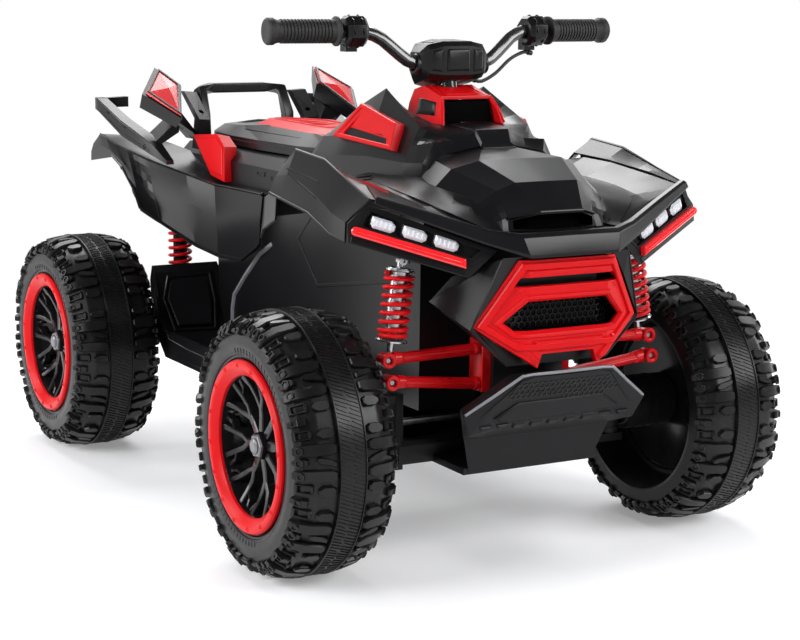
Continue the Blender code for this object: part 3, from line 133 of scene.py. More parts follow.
def change(target, tools, operation):
    for tool in tools:
        step = target.modifiers.new("change", "BOOLEAN")
        step.operation = operation
        step.solver = "EXACT"
        step.object = tool
    bakeModifiers(target)
    for tool in tools:
        bpy.data.objects.remove(tool, do_unlink=True)
    return target


def cut(target, *tools):
    return change(target, tools, "DIFFERENCE")


def loft(name, rings, closeEnds=True):
    bm = bmesh.new()
    made = [[bm.verts.new(p) for p in ring] for ring in rings]
    count = len(made[0])
    for ring, after in zip(made, made[1:]):
        for i in range(count):
            j = (i + 1) % count
            bm.faces.new((ring[i], ring[j], after[j], after[i]))
    if closeEnds:
        bm.faces.new(made[0][::-1])
        bm.faces.new(made[-1])
    return shell(name, bm)


def prism(name, ring, push):    # a flat outline pushed into a block
    return loft(name, [ring, [Vector(p) + Vector(push) for p in ring]])


def block(name, low, high):
    low, high = Vector(low), Vector(high)
    ring = [(low.x, low.y, low.z), (high.x, low.y, low.z), (high.x, high.y, low.z), (low.x, high.y, low.z)]
    return prism(name, ring, (0, 0, high.z - low.z))


def axes(along):    # two directions across this one
    along = Vector(along).normalized()
    side = along.cross(Vector((0, 0, 1)) if abs(along.z) < 0.9 else Vector((0, 1, 0))).normalized()
    return side, along.cross(side).normalized()


def sweep(name, path, radius, count=12):    # round bar along points; radius is a number or one for each point
    path = [Vector(p) for p in path]
    radii = radius if isinstance(radius, (list, tuple)) else [radius] * len(path)
    side, up = axes(path[1] - path[0])
    rings = []
    for k, point in enumerate(path):
        along = (path[min(k + 1, len(path) - 1)] - path[max(k - 1, 0)]).normalized()
        side = (side - along * side.dot(along)).normalized()
        up = along.cross(side)
        turns = [2 * math.pi * i / count for i in range(count)]
        rings.append([point + (side * math.cos(a) + up * math.sin(a)) * radii[k] for a in turns])
    return loft(name, rings)


def lathe(name, profile, steps, start=(0, 0, 0), along=(1, 0, 0), loop=False):    # (along, radius) points
    start, along = Vector(start), Vector(along).normalized()
    side, up = axes(along)
    bm = bmesh.new()
    turns = [2 * math.pi * k / steps for k in range(steps)]
    rings = [[bm.verts.new(start + along * a + (side * math.cos(t) + up * math.sin(t)) * r) for a, r in profile]
             for t in turns]
    count = len(profile)
    for k, ring in enumerate(rings):
        after = rings[(k + 1) % steps]
        for i in range(count if loop else count - 1):
            j = (i + 1) % count
            bm.faces.new((ring[i], ring[j], after[j], after[i]))
    bmesh.ops.remove_doubles(bm, verts=bm.verts, dist=2e-6)
    bmesh.ops.dissolve_degenerate(bm, edges=bm.edges, dist=1e-7)
    return shell(name, bm)


# Square ring round an axis: from and to along it, inner and outer radius
def hoop(name, low, high, inner, outer, steps, start, along):
    return lathe(name, [(low, inner), (low, outer), (high, outer), (high, inner)], steps, start, along, loop=True)


def smoothLine(points, spacing):    # points this far apart on a smooth curve
    path = [Vector(p) for p in points]
    ends = [2 * path[0] - path[1], *path, 2 * path[-1] - path[-2]]
    line = []
    for a, b, c, d in zip(ends, ends[1:], ends[2:], ends[3:]):
        steps = max(1, round((c - b).length / spacing))
        for i in range(steps):
            t = i / steps
            line.append((2 * b + (c - a) * t + (2 * a - 5 * b + 4 * c - d) * t**2 + (3 * b - a - 3 * c + d) * t**3) / 2)
    return [*line, path[-1]]


def nodeCopy(node, name=None, melt=0.7):    # a CAD node's mesh, welded
    bm = bmesh.new()
    bm.from_mesh(nodes[node].data)
    bmesh.ops.remove_doubles(bm, verts=bm.verts, dist=3e-6)
    bmesh.ops.dissolve_limit(bm, angle_limit=math.radians(melt), verts=bm.verts, edges=bm.edges)
    mesh = bpy.data.meshes.new(name or node + "_piece")
    bm.to_mesh(mesh)
    bm.free()
    return link(bpy.data.objects.new(mesh.name, mesh))


def place(obj, matrix):    # a copy of this piece, moved in its mesh
    copy = link(bpy.data.objects.new(obj.name, obj.data.copy()))
    copy.data.transform(matrix)
    return copy


def mirrorPiece(obj, name):    # the same piece on the other side
    copy = place(obj, Matrix.Scale(-1, 4, (1, 0, 0)))
    copy.data.flip_normals()
    copy.name = name
    return copy


def swapped(obj):    # the piece moved to the other side
    copy = mirrorPiece(obj, obj.name)
    bpy.data.objects.remove(obj, do_unlink=True)
    return copy


def onSide(obj, side):    # a left piece, moved over where it belongs on the right
    return swapped(obj) if side < 0 else obj


# Body, finish and slot of the usual pieces
blackShell = ("chassis", "satinBlack", "body_plastic")
redShell = ("chassis", "redGloss", "red_plastic")
# the last, in a darker duller black, stands for the shade in slots, recesses and the vent's opening: painted shade
recessShadeShell = ("chassis", "recessShadeBlack", "body_plastic")


def settle(obj, name, body, finish, slot, stands=()):
    obj.name = name
    obj.data.name = name
    obj.data.materials.clear()
    obj.data.materials.append(material(finish))
    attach(obj, body)
    if stands:
        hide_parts(*stands)
    return obj


# Finishes: values for each surface, all through the same node groups
finishes = {
    "satinBlack": {"colour": (0.0065, 0.0065, 0.0075), "rough": 0.30, "gloss": 0.28,
                   "shade": 0.88, "patch": 9, "roughSpread": 0.03, "grain": 1500, "grainDepth": 0.03, "scuff": 0.008},
    # darker, duller black for the lamp housing, slots and vent floors: painted shade in recesses
    "recessShadeBlack": {"colour": (0.005, 0.005, 0.006), "rough": 0.6, "gloss": 0.2, "shade": 0.7, "patch": 30,
                  "roughSpread": 0.1, "grain": 1100, "grainDepth": 0.12, "scuff": 0.02},
    # near-black, matte and dull, for the sheets inside the intake and behind the cowl's mouth: painted shade
    "shadeBlack": {"colour": (0.0015, 0.0015, 0.0018), "rough": 0.8, "gloss": 0.04, "shade": 0.7, "patch": 30,
                  "roughSpread": 0.1, "grain": 1100, "grainDepth": 0.1, "scuff": 0.01},
    "bumperBlack": {"colour": (0.007, 0.007, 0.008), "rough": 0.44, "gloss": 0.22, "shade": 0.75, "patch": 25,
                    "roughSpread": 0.08, "grain": 1300, "grainDepth": 0.05, "scuff": 0.02},
    "chassisBlack": {"colour": (0.009, 0.009, 0.010), "rough": 0.5, "gloss": 0.25, "shade": 0.75, "patch": 20,
                     "roughSpread": 0.12, "grain": 1000, "grainDepth": 0.1, "scuff": 0.04},
    "tyreBlack": {"colour": (0.008, 0.008, 0.0085), "rough": 0.34, "gloss": 0.30, "shade": 0.7, "patch": 40,
                  "roughSpread": 0.14, "grain": 900, "grainDepth": 0.10, "scuff": 0.08},
    "rimBlack": {"colour": (0.009, 0.009, 0.010), "rough": 0.22, "coat": 0.1, "coatRough": 0.1, "gloss": 0.35,
                 "shade": 0.8, "patch": 35, "roughSpread": 0.06, "grain": 700, "grainDepth": 0.02, "scuff": 0.03},
    "redGloss": {"colour": (0.66, 0.005, 0.008), "rough": 0.33, "gloss": 0.15,
                 "shade": 0.90, "patch": 12, "roughSpread": 0.03, "grain": 160, "grainDepth": 0.02, "scuff": 0.01},
    "redPaint": {"colour": (0.66, 0.005, 0.008), "rough": 0.3, "coat": 0.08, "coatRough": 0.12, "gloss": 0.22,
                 "shade": 0.8,
                 "patch": 40, "roughSpread": 0.08, "grain": 500, "grainDepth": 0.04, "scuff": 0.06},
    "lightBar": {"colour": (0.80, 0.016, 0.020), "rough": 0.14, "coat": 0.9, "coatRough": 0.03, "glow": 0.25,
                 "shade": 0.85, "patch": 60, "roughSpread": 0.03, "grain": 240, "grainDepth": 0.02, "scuff": 0.01},
    "bladeRed": {"colour": (0.62, 0.006, 0.010), "rough": 0.30, "coat": 0.15, "coatRough": 0.1, "gloss": 0.30,
                 "shade": 0.85,
                 "patch": 60, "roughSpread": 0.03, "grain": 240, "grainDepth": 0.02, "scuff": 0.01},
    "lampWhite": {"colour": (0.72, 0.74, 0.78), "rough": 0.12, "coat": 0.8, "coatRough": 0.03, "glow": 0.06,
                  "shade": 0.92, "patch": 120, "roughSpread": 0.04, "grain": 420, "grainDepth": 0.05, "scuff": 0.0},
    "gripRubber": {"colour": (0.017, 0.017, 0.017), "rough": 0.62, "shade": 0.7, "patch": 90,
                   "roughSpread": 0.1, "grain": 1800, "grainDepth": 0.15, "scuff": 0.05},
    "barBlack": {"colour": (0.018, 0.018, 0.019), "rough": 0.22, "coat": 0.7, "coatRough": 0.08,
                 "shade": 0.8, "patch": 30, "roughSpread": 0.06, "grain": 600, "grainDepth": 0.03, "scuff": 0.05},
    "brightSteel": {"colour": (0.58, 0.58, 0.60), "rough": 0.24, "metallic": 1.0, "shade": 0.85,
                    "patch": 60, "roughSpread": 0.12, "grain": 900, "grainDepth": 0.04, "scuff": 0.12},
    "zincSteel": {"colour": (0.42, 0.42, 0.44), "rough": 0.4, "metallic": 1.0, "shade": 0.7,
                  "patch": 90, "roughSpread": 0.15, "grain": 700, "grainDepth": 0.06, "scuff": 0.12},
    "hubSilver": {"colour": (0.22, 0.22, 0.235), "rough": 0.30, "metallic": 0.55, "shade": 0.85,
                  "patch": 50, "roughSpread": 0.08, "grain": 800, "grainDepth": 0.03, "scuff": 0.05},
    # grey trim colour; on the body's side edge the grey bead is a painted highlight
    "edgeGrey": {"colour": (0.22, 0.225, 0.24), "rough": 0.34, "coat": 0.2, "shade": 0.85, "patch": 25,
                 "roughSpread": 0.08, "grain": 1300, "grainDepth": 0.05, "scuff": 0.04},
    "gearGrey": {"colour": (0.060, 0.062, 0.066), "rough": 0.5, "shade": 0.75, "patch": 40,
                 "roughSpread": 0.12, "grain": 900, "grainDepth": 0.1, "scuff": 0.05},
    "cableBlack": {"colour": (0.015, 0.015, 0.015), "rough": 0.45, "shade": 0.7, "patch": 120,
                   "roughSpread": 0.1, "grain": 1600, "grainDepth": 0.1, "scuff": 0.04},
}


def makeGroup(name, inputs, outputs):
    group = bpy.data.node_groups.new(name, "ShaderNodeTree")
    for label, kind, value in inputs:
        socket = group.interface.new_socket(label, in_out="INPUT", socket_type=kind)
        if value is not None:
            socket.default_value = value
    for label, kind in outputs:
        group.interface.new_socket(label, in_out="OUTPUT", socket_type=kind)
    return group, group.nodes.new("NodeGroupInput"), group.nodes.new("NodeGroupOutput")


def makeNoise(group, place, scale, detail, rough):
    noise = group.nodes.new("ShaderNodeTexNoise")
    noise.inputs["Detail"].default_value = detail
    noise.inputs["Roughness"].default_value = rough
    group.links.new(place, noise.inputs["Vector"])
    group.links.new(scale, noise.inputs["Scale"])
    return noise.outputs["Fac"]


def makeRange(group, value, low, high, toLow=None, toHigh=None):    # sockets or numbers for the new range
    mapped = group.nodes.new("ShaderNodeMapRange")
    mapped.inputs["From Min"].default_value = low
    mapped.inputs["From Max"].default_value = high
    group.links.new(value, mapped.inputs["Value"])
    for socket, source in (("To Min", toLow), ("To Max", toHigh)):
        if isinstance(source, (int, float)):
            mapped.inputs[socket].default_value = source
        elif source is not None:
            group.links.new(source, mapped.inputs[socket])
    return mapped.outputs["Result"]


def makeMath(group, operation, first, second):
    step = group.nodes.new("ShaderNodeMath")
    step.operation = operation
    for socket, source in zip(step.inputs, (first, second)):
        if isinstance(source, (int, float)):
            socket.default_value = source
        else:
            group.links.new(source, socket)
    return step.outputs[0]


def mouldedGroup():    # uneven colour and gloss in broad patches, and the mould's fine grain
    group, start, end = makeGroup("mouldedSurface", [
        ("Place", "NodeSocketVector", None), ("Colour", "NodeSocketColor", (0.5, 0.5, 0.5, 1)),
        ("Shade", "NodeSocketFloat", 0.8), ("Patch Scale", "NodeSocketFloat", 20),
        ("Rough", "NodeSocketFloat", 0.4), ("Rough Spread", "NodeSocketFloat", 0.1),
        ("Grain Scale", "NodeSocketFloat", 1000)],
        [("Colour", "NodeSocketColor"), ("Rough", "NodeSocketFloat"), ("Height", "NodeSocketFloat")])
    patches = makeNoise(group, start.outputs["Place"], start.outputs["Patch Scale"], 3, 0.55)
    grain = makeNoise(group, start.outputs["Place"], start.outputs["Grain Scale"], 2, 0.6)
    level = makeRange(group, patches, 0.3, 0.7, start.outputs["Shade"], 1.0)
    tint = group.nodes.new("ShaderNodeVectorMath")
    tint.operation = "SCALE"
    group.links.new(start.outputs["Colour"], tint.inputs[0])
    group.links.new(level, tint.inputs["Scale"])
    group.links.new(tint.outputs[0], end.inputs["Colour"])
    spread = makeMath(group, "MULTIPLY", makeMath(group, "SUBTRACT", patches, 0.5), start.outputs["Rough Spread"])
    fine = makeMath(group, "MULTIPLY", makeMath(group, "SUBTRACT", grain, 0.5), start.outputs["Rough Spread"])
    total = makeMath(group, "ADD", makeMath(group, "ADD", spread, spread), fine)
    group.links.new(makeMath(group, "ADD", start.outputs["Rough"], total), end.inputs["Rough"])
    group.links.new(grain, end.inputs["Height"])
    return group


def scuffGroup():    # thin rubbed streaks: lighter, and duller than the surface round them
    group, start, end = makeGroup("rubbedStreaks", [
        ("Place", "NodeSocketVector", None), ("Colour", "NodeSocketColor", (0.5, 0.5, 0.5, 1)),
        ("Rough", "NodeSocketFloat", 0.4), ("Amount", "NodeSocketFloat", 0.05)],
                                  [("Colour", "NodeSocketColor"), ("Rough", "NodeSocketFloat")])
    turned = group.nodes.new("ShaderNodeMapping")
    turned.inputs["Rotation"].default_value = (0.5, 0.3, 0.9)
    turned.inputs["Scale"].default_value = (1, 14, 5)
    group.links.new(start.outputs["Place"], turned.inputs["Vector"])
    streaks = group.nodes.new("ShaderNodeTexNoise")
    streaks.inputs["Scale"].default_value = 26
    streaks.inputs["Detail"].default_value = 5
    streaks.inputs["Roughness"].default_value = 0.72
    group.links.new(turned.outputs[0], streaks.inputs["Vector"])
    mask = makeRange(group, streaks.outputs["Fac"], 0.60, 0.74, 0.0, start.outputs["Amount"])
    pale = group.nodes.new("ShaderNodeMix")
    pale.data_type = "RGBA"
    pale.inputs["B"].default_value = (0.35, 0.35, 0.36, 1)
    group.links.new(mask, pale.inputs["Factor"])
    group.links.new(start.outputs["Colour"], pale.inputs["A"])
    group.links.new(pale.outputs["Result"], end.inputs["Colour"])
    more = makeMath(group, "MULTIPLY", mask, 2.5)
    group.links.new(makeMath(group, "ADD", start.outputs["Rough"], more), end.inputs["Rough"])
    return group


surfaceGroups = {}
madeMaterials = {}


def material(name):
    if name in madeMaterials:
        return madeMaterials[name]
    if not surfaceGroups:
        surfaceGroups.update(moulded=mouldedGroup(), scuffs=scuffGroup())
    values = finishes[name]
    made = bpy.data.materials.new(name)
    made.use_nodes = True
    tree = made.node_tree
    shader = tree.nodes["Principled BSDF"]
    place = tree.nodes.new("ShaderNodeTexCoord").outputs["Object"]
    moulded = tree.nodes.new("ShaderNodeGroup")
    moulded.node_tree = surfaceGroups["moulded"]
    for socket, key in (("Shade", "shade"), ("Patch Scale", "patch"), ("Rough", "rough"),
                        ("Rough Spread", "roughSpread"), ("Grain Scale", "grain")):
        moulded.inputs[socket].default_value = values[key]
    moulded.inputs["Colour"].default_value = (*values["colour"], 1)
    scuffs = tree.nodes.new("ShaderNodeGroup")
    scuffs.node_tree = surfaceGroups["scuffs"]
    scuffs.inputs["Amount"].default_value = values["scuff"]
    for group in (moulded, scuffs):
        tree.links.new(place, group.inputs["Place"])
    tree.links.new(moulded.outputs["Colour"], scuffs.inputs["Colour"])
    tree.links.new(moulded.outputs["Rough"], scuffs.inputs["Rough"])
    tree.links.new(scuffs.outputs["Colour"], shader.inputs["Base Color"])
    tree.links.new(scuffs.outputs["Rough"], shader.inputs["Roughness"])
    bump = tree.nodes.new("ShaderNodeBump")
    bump.inputs["Strength"].default_value = values["grainDepth"] * 2
    bump.inputs["Distance"].default_value = 0.0004
    tree.links.new(moulded.outputs["Height"], bump.inputs["Height"])
    tree.links.new(bump.outputs["Normal"], shader.inputs["Normal"])
    shader.inputs["Metallic"].default_value = values.get("metallic", 0.0)
    shader.inputs["Coat Weight"].default_value = values.get("coat", 0.0)
    shader.inputs["Coat Roughness"].default_value = values.get("coatRough", 0.1)
    if "glow" in values:
        tree.links.new(scuffs.outputs["Colour"], shader.inputs["Emission Color"])
        shader.inputs["Emission Strength"].default_value = values["glow"]
    shader.inputs["Specular IOR Level"].default_value = values.get("gloss", 0.5)
    made.diffuse_color = (*values["colour"], 1)
    madeMaterials[name] = made
    return made


# Geometry Nodes: copies of a small piece round the X axis, along a line, or over a grid
def makeCopyTree(name, settings, layout):
    tree = bpy.data.node_groups.new(name, "GeometryNodeTree")
    tree.interface.new_socket("Geometry", in_out="INPUT", socket_type="NodeSocketGeometry")
    for label, kind in [*settings, ("Finish", "NodeSocketMaterial")]:
        tree.interface.new_socket(label, in_out="INPUT", socket_type=kind)
    tree.interface.new_socket("Geometry", in_out="OUTPUT", socket_type="NodeSocketGeometry")
    start, end = tree.nodes.new("NodeGroupInput"), tree.nodes.new("NodeGroupOutput")
    points, turn = layout(tree, start)
    copies = tree.nodes.new("GeometryNodeInstanceOnPoints")
    tree.links.new(points, copies.inputs["Points"])
    tree.links.new(start.outputs["Geometry"], copies.inputs["Instance"])
    if turn is not None:
        tree.links.new(turn, copies.inputs["Rotation"])
    real = tree.nodes.new("GeometryNodeRealizeInstances")
    coat = tree.nodes.new("GeometryNodeSetMaterial")
    tree.links.new(copies.outputs[0], real.inputs[0])
    tree.links.new(real.outputs[0], coat.inputs["Geometry"])
    tree.links.new(start.outputs["Finish"], coat.inputs["Material"])
    tree.links.new(coat.outputs[0], end.inputs[0])
    return tree


def roundLayout(tree, start):
    points = tree.nodes.new("GeometryNodePoints")
    tree.links.new(start.outputs["Count"], points.inputs["Count"])
    index = tree.nodes.new("GeometryNodeInputIndex").outputs[0]
    share = makeMath(tree, "DIVIDE", index, start.outputs["Count"])
    angle = makeMath(tree, "MULTIPLY", share, start.outputs["Whole Turn"])
    vector = tree.nodes.new("ShaderNodeCombineXYZ")
    tree.links.new(angle, vector.inputs["X"])
    turn = tree.nodes.new("FunctionNodeEulerToRotation")
    tree.links.new(vector.outputs[0], turn.inputs[0])
    return points.outputs[0], turn.outputs[0]


def lineLayout(tree, start):
    line = tree.nodes.new("GeometryNodeMeshLine")
    line.mode = "OFFSET"
    tree.links.new(start.outputs["Count"], line.inputs["Count"])
    tree.links.new(start.outputs["Step"], line.inputs["Offset"])
    return line.outputs[0], None


def combLayout(tree, start):    # rows of cells, every second row moved by half a step
    points = tree.nodes.new("GeometryNodePoints")
    total = makeMath(tree, "MULTIPLY", start.outputs["Rows"], start.outputs["Columns"])
    tree.links.new(total, points.inputs["Count"])
    index = tree.nodes.new("GeometryNodeInputIndex").outputs[0]
    column = makeMath(tree, "MODULO", index, start.outputs["Columns"])
    row = makeMath(tree, "FLOOR", makeMath(tree, "DIVIDE", index, start.outputs["Columns"]), 0)
    odd = makeMath(tree, "MULTIPLY", makeMath(tree, "MODULO", row, 2), 0.5)
    vectors = []
    for amount, socket in ((makeMath(tree, "ADD", column, odd), "Across"), (row, "Up")):
        scaled = tree.nodes.new("ShaderNodeVectorMath")
        scaled.operation = "SCALE"
        tree.links.new(start.outputs[socket], scaled.inputs[0])
        tree.links.new(amount, scaled.inputs["Scale"])
        vectors.append(scaled.outputs[0])
    both = tree.nodes.new("ShaderNodeVectorMath")
    tree.links.new(vectors[0], both.inputs[0])
    tree.links.new(vectors[1], both.inputs[1])
    tree.links.new(both.outputs[0], points.inputs["Position"])
    return points.outputs[0], None


copyTrees = {}


def spread(piece, layout, finish="satinBlack", **settings):    # the copies as one plain mesh
    kinds = {
        "round": ([("Count", "NodeSocketInt"), ("Whole Turn", "NodeSocketFloat")], roundLayout),
        "line": ([("Count", "NodeSocketInt"), ("Step", "NodeSocketVector")], lineLayout),
        "comb": ([("Rows", "NodeSocketInt"), ("Columns", "NodeSocketInt"), ("Across", "NodeSocketVector"),
                  ("Up", "NodeSocketVector")], combLayout),
    }
    if layout not in copyTrees:
        copyTrees[layout] = makeCopyTree(layout + "Copies", *kinds[layout])
    tree = copyTrees[layout]
    values = {**settings, "Finish": material(finish)}
    if layout == "round":
        values.setdefault("Whole Turn", 2 * math.pi)
    nodesModifier = piece.modifiers.new("copies", "NODES")
    nodesModifier.node_group = tree
    for item in tree.interface.items_tree:
        if item.in_out == "INPUT" and item.name in values:
            nodesModifier[item.identifier] = values[item.name]
    piece.data.update()
    return bakeModifiers(piece)


# Wheels, made round the X axis with the outer side towards +X, then put on their axles
wheel = {
    "axleY": 0.36, "axleZ": 0.160, "track": 0.2805,
    "pitches": 10, "ribs": 20, "lugHeight": 0.0062, "bevel": 0.75,
    "dimples": 16, "spokes": 8, "spokeDepth": 0.013,
    "turns": {"front_right": 8, "front_left": 21, "rear_right": 15, "rear_left": 30},
}
treadLine = [(0.0172, 0.1540), (0.0400, 0.1512), (0.0560, 0.1425), (0.0612, 0.1335), (0.0625, 0.1215)]


def onTread(t, degrees, lift, hand=1):    # t counts along treadLine; degrees go round the tyre
    whole = min(int(t), len(treadLine) - 2)
    a, b = Vector(treadLine[whole]), Vector(treadLine[whole + 1])
    before = Vector(treadLine[max(whole - 1, 0)])
    after = Vector(treadLine[min(whole + 2, len(treadLine) - 1)])
    u = t - whole
    spot = a.lerp(b, u)
    along = ((b - before) * (1 - u) + (after - a) * u).normalized()
    out, radius = spot.x - along.y * lift, spot.y + along.x * lift
    angle = math.radians(degrees)
    return Vector((hand * out, radius * math.cos(angle), radius * math.sin(angle)))


def lug(rows, rise=1.0, hand=1):    # a block across the tread: rows of (t, from, to) in degrees
    height = wheel["lugHeight"] * rise
    edge = wheel["bevel"]
    rows = [rows[0], (rows[0][0] + 0.07, rows[0][1], rows[0][2]), *rows[1:-1],
            (rows[-1][0] - 0.07, rows[-1][1], rows[-1][2]), rows[-1]]
    rings = []
    for k, (t, low, high) in enumerate(rows):
        top = height * (0.62 if k in (0, len(rows) - 1) else 1)
        side = top * 0.68
        inset = edge * 0.45
        rings.append([onTread(t, low, -0.0012, hand), onTread(t, low, side, hand), onTread(t, low + inset, top, hand),
                      onTread(t, high - inset, top, hand), onTread(t, high, side, hand),
                      onTread(t, high, -0.0012, hand)])
    return loft("lug", rings)


def boss(t, degrees, radius, lift, hand=1, corners=6, flat=1.0):    # raised frame with a pit in it
    middle = onTread(t, degrees, lift, hand)
    normal = (onTread(t, degrees, lift + 0.001, hand) - middle).normalized()
    across = (onTread(t + 0.05, degrees, lift, hand) - middle).normalized()
    round_ = normal.cross(across)
    rings = []
    for size, rise in ((1.0, -0.003), (1.0, 0.0006), (0.9, 0.0013), (0.62, 0.0013), (0.52, -0.0006)):
        turns = [2 * math.pi * (k + 0.5) / corners for k in range(corners)]
        rings.append([middle + normal * rise + (across * math.cos(a) * flat + round_ * math.sin(a)) * radius * size
                      for a in turns])
    return loft("boss", rings)


def treadSector(hand):    # one repeat of the shoulder pattern
    height = wheel["lugHeight"]
    parts = [
        lug([(0.08, 1.2, 4.4), (0.35, 0.2, 5.2), (1.2, 0.0, 5.4), (2.0, 0.2, 5.2), (2.9, 0.8, 4.6)], 1.0, hand),
        boss(2.15, 2.7, 0.0058, height, hand),
        lug([(0.10, 8.0, 10.4), (0.30, 7.0, 11.4), (0.75, 7.0, 11.4), (1.02, 8.2, 10.2)], 0.9, hand),
        lug([(0.12, 19.4, 22.0), (0.30, 18.5, 23.0), (0.75, 18.5, 23.0), (1.05, 19.8, 21.8)], 0.9, hand),
        lug([(1.55, 13.6, 16.8), (2.0, 13.2, 17.0), (3.1, 13.6, 16.6)], 0.95, hand),
        boss(2.3, 15.1, 0.0052, height * 0.95, hand, 4, 1.25),
        lug([(0.08, 26.0, 29.2), (0.35, 25.0, 30.0), (1.2, 25.0, 30.2), (2.0, 25.2, 30.0), (3.0, 25.8, 29.4)],
            1.0, hand),
        boss(2.1, 27.6, 0.0056, height, hand),
        lug([(0.10, 31.2, 33.4), (0.45, 31.8, 34.6), (0.9, 32.6, 35.6), (1.15, 33.6, 35.4)], 0.85, hand),
        lug([(1.6, 32.4, 34.8), (1.9, 31.6, 35.4), (2.5, 31.6, 35.4), (3.0, 32.6, 34.6)], 1.0, hand),
        boss(2.2, 33.5, 0.0062, height, hand),
    ]
    for start in (7.2, 19.2):    # open frames on the shoulder
        parts += [
            lug([(1.35, start, start + 0.9), (2.7, start, start + 0.9)], 0.72, hand),
            lug([(1.35, start + 3.6, start + 4.5), (2.7, start + 3.6, start + 4.5)], 0.72, hand),
            lug([(2.45, start, start + 4.5), (2.85, start, start + 4.5)], 0.74, hand),
            lug([(1.30, start + 0.6, start + 3.9), (1.50, start + 0.6, start + 3.9)], 0.6, hand),
        ]
    return parts


def bandRib(degrees, fromX, toX, shift):    # slanted rib on the middle band
    low, high, half = 0.1578, 0.1594, 0.30
    rings = []
    for x, lean in ((fromX, 0.0), (toX, shift)):
        corners = []
        for radius, turn in ((low, -half), (high, -half * 0.6), (high, half * 0.6), (low, half)):
            angle = math.radians(degrees + lean + turn)
            corners.append(Vector((x, radius * math.cos(angle), radius * math.sin(angle))))
        rings.append(corners)
    return loft("rib", rings)


def makeTyre():
    parts = treadSector(1) + treadSector(-1)
    step = 360 / wheel["pitches"] / wheel["ribs"]
    for k in range(wheel["ribs"]):
        parts.append(bandRib(k * step, -0.0146, -0.0008 if k % 3 else -0.003, 2.1))
        parts.append(bandRib(k * step + 2.35, 0.0008 if k % 4 else 0.0028, 0.0146, 2.1))
    sector = joined("sector", parts)
    lugs = spread(sector, "round", "tyreBlack", Count=wheel["pitches"])
    line = [onTread(k / 6, 0, 0) for k in range(6 * (len(treadLine) - 1), -1, -1)]
    outer = [(0.0560, 0.0975), (0.0574, 0.1045), (0.0592, 0.1060), (0.0600, 0.1085), (0.0614, 0.1092),
             (0.0622, 0.1120), (0.0618, 0.1126), (0.0623, 0.1180)]
    tread = [(p.x, p.y) for p in line]
    band = [(0.0172, 0.1590), (0.0168, 0.1600), (0.0156, 0.1600), (0.0150, 0.1582)]
    half = tread + band
    inner = [(-0.0622, 0.1190), (-0.0612, 0.1165), (-0.0590, 0.1158), (-0.0130, 0.1042), (-0.0122, 0.1030),
             (-0.0122, 0.0982)]
    profile = outer + half + [(-x, r) for x, r in reversed(half)] + inner
    carcass = lathe("carcass", profile, 144, loop=True)
    marks = []
    for start, count in ((20, 19), (200, 19)):    # bare radial marks in place of words
        for k in range(count):
            angle = math.radians(start + k * 4.2)
            marks.append(sideMark(angle, 0.1098, 0.1172, 0.0013))
    piece = joined("tyre", [carcass, lugs, *marks])
    return softShade(piece, 30)


def sideMark(angle, low, high, half):
    rings = []
    for radius, out in ((low, 0.0612), (high, 0.0618)):
        middle = Vector((0, radius * math.cos(angle), radius * math.sin(angle)))
        across = Vector((0, -math.sin(angle), math.cos(angle))) * half
        top = Vector((out + 0.0009, 0, 0))
        base = Vector((out - 0.002, 0, 0))
        rings.append([middle + across + base, middle + across * 0.8 + top, middle - across * 0.8 + top,
                      middle - across + base])
    return loft("mark", rings)


def beam(points, depth):    # spoke arm through (radius, degrees, out, half width) points
    rings = []
    for radius, degrees, out, half in points:
        angle = math.radians(degrees)
        middle = Vector((0, radius * math.cos(angle), radius * math.sin(angle)))
        across = Vector((0, -math.sin(angle), math.cos(angle)))
        rings.append([middle + across * a + Vector((out - b, 0, 0)) for a, b in
                      ((-half * 1.3, depth), (-half, 0.0010), (-half * 0.62, 0), (half * 0.62, 0), (half, 0.0010),
                       (half * 1.3, depth))])
    return loft("beam", rings)


def makeSpokes():
    deep = wheel["spokeDepth"]
    parts = [beam([(0.0165, 0, 0.0405, 0.0060), (0.034, 0, 0.0390, 0.0054), (0.046, 0, 0.0390, 0.0048)], deep)]
    for hand in (-1, 1):
        parts.append(beam([(0.0430, 0.5 * hand, 0.0390, 0.0038), (0.0560, 7.5 * hand, 0.0402, 0.0036),
                           (0.0690, 9.5 * hand, 0.0445, 0.0032), (0.0860, 12.0 * hand, 0.0525, 0.0036)], deep))
        parts.append(beam([(0.0690, 9.3 * hand, 0.0435, 0.0024), (0.0760, 17.0 * hand, 0.0445, 0.0023),
                           (0.0860, 20.0 * hand, 0.0485, 0.0023)], deep * 0.7))
    sector = joined("spoke", parts)
    return spread(sector, "round", "rimBlack", Count=wheel["spokes"])


def makeRim():
    dish = lathe("dish", [
        (0.0560, 0.0870), (0.0535, 0.0846), (0.0420, 0.0838), (0.0330, 0.0826), (0.0300, 0.0790), (-0.0020, 0.0765),
        (-0.0040, 0.0740), (-0.0040, 0.0260), (-0.0020, 0.0225), (0.0330, 0.0205), (0.0360, 0.0185), (0.0360, 0.0060),
        (-0.0122, 0.0060), (-0.0122, 0.0938), (-0.0132, 0.0944), (-0.0132, 0.0956), (-0.0122, 0.0962),
        (-0.0122, 0.0976), (0.0560, 0.0976)], 96, loop=True)
    cap = lathe("cap", [(0.030, 0.0), (0.030, 0.0175), (0.0440, 0.0172), (0.0470, 0.0160)], 6)
    return dish, cap


def makeRing():
    band = lathe("ring", [
        (0.0580, 0.0990), (0.0580, 0.1028), (0.0596, 0.1036), (0.0622, 0.1032), (0.0644, 0.1012), (0.0649, 0.0992),
        (0.0649, 0.0950), (0.0641, 0.0932), (0.0590, 0.0862), (0.0575, 0.0846), (0.0545, 0.0842), (0.0540, 0.0866),
        (0.0562, 0.0880)], 96, loop=True)
    rivet = lathe("rivet", [(-0.001, 0.0030), (0.0003, 0.0030), (0.0008, 0.0025), (0.0008, 0.0020), (-0.0002, 0.0016)],
                  12, (0.0648, 0.0972, 0))
    return softShade(joined("ring", [band, capped(spread(rivet, "round", "redGloss", Count=wheel["dimples"]))]), 28)


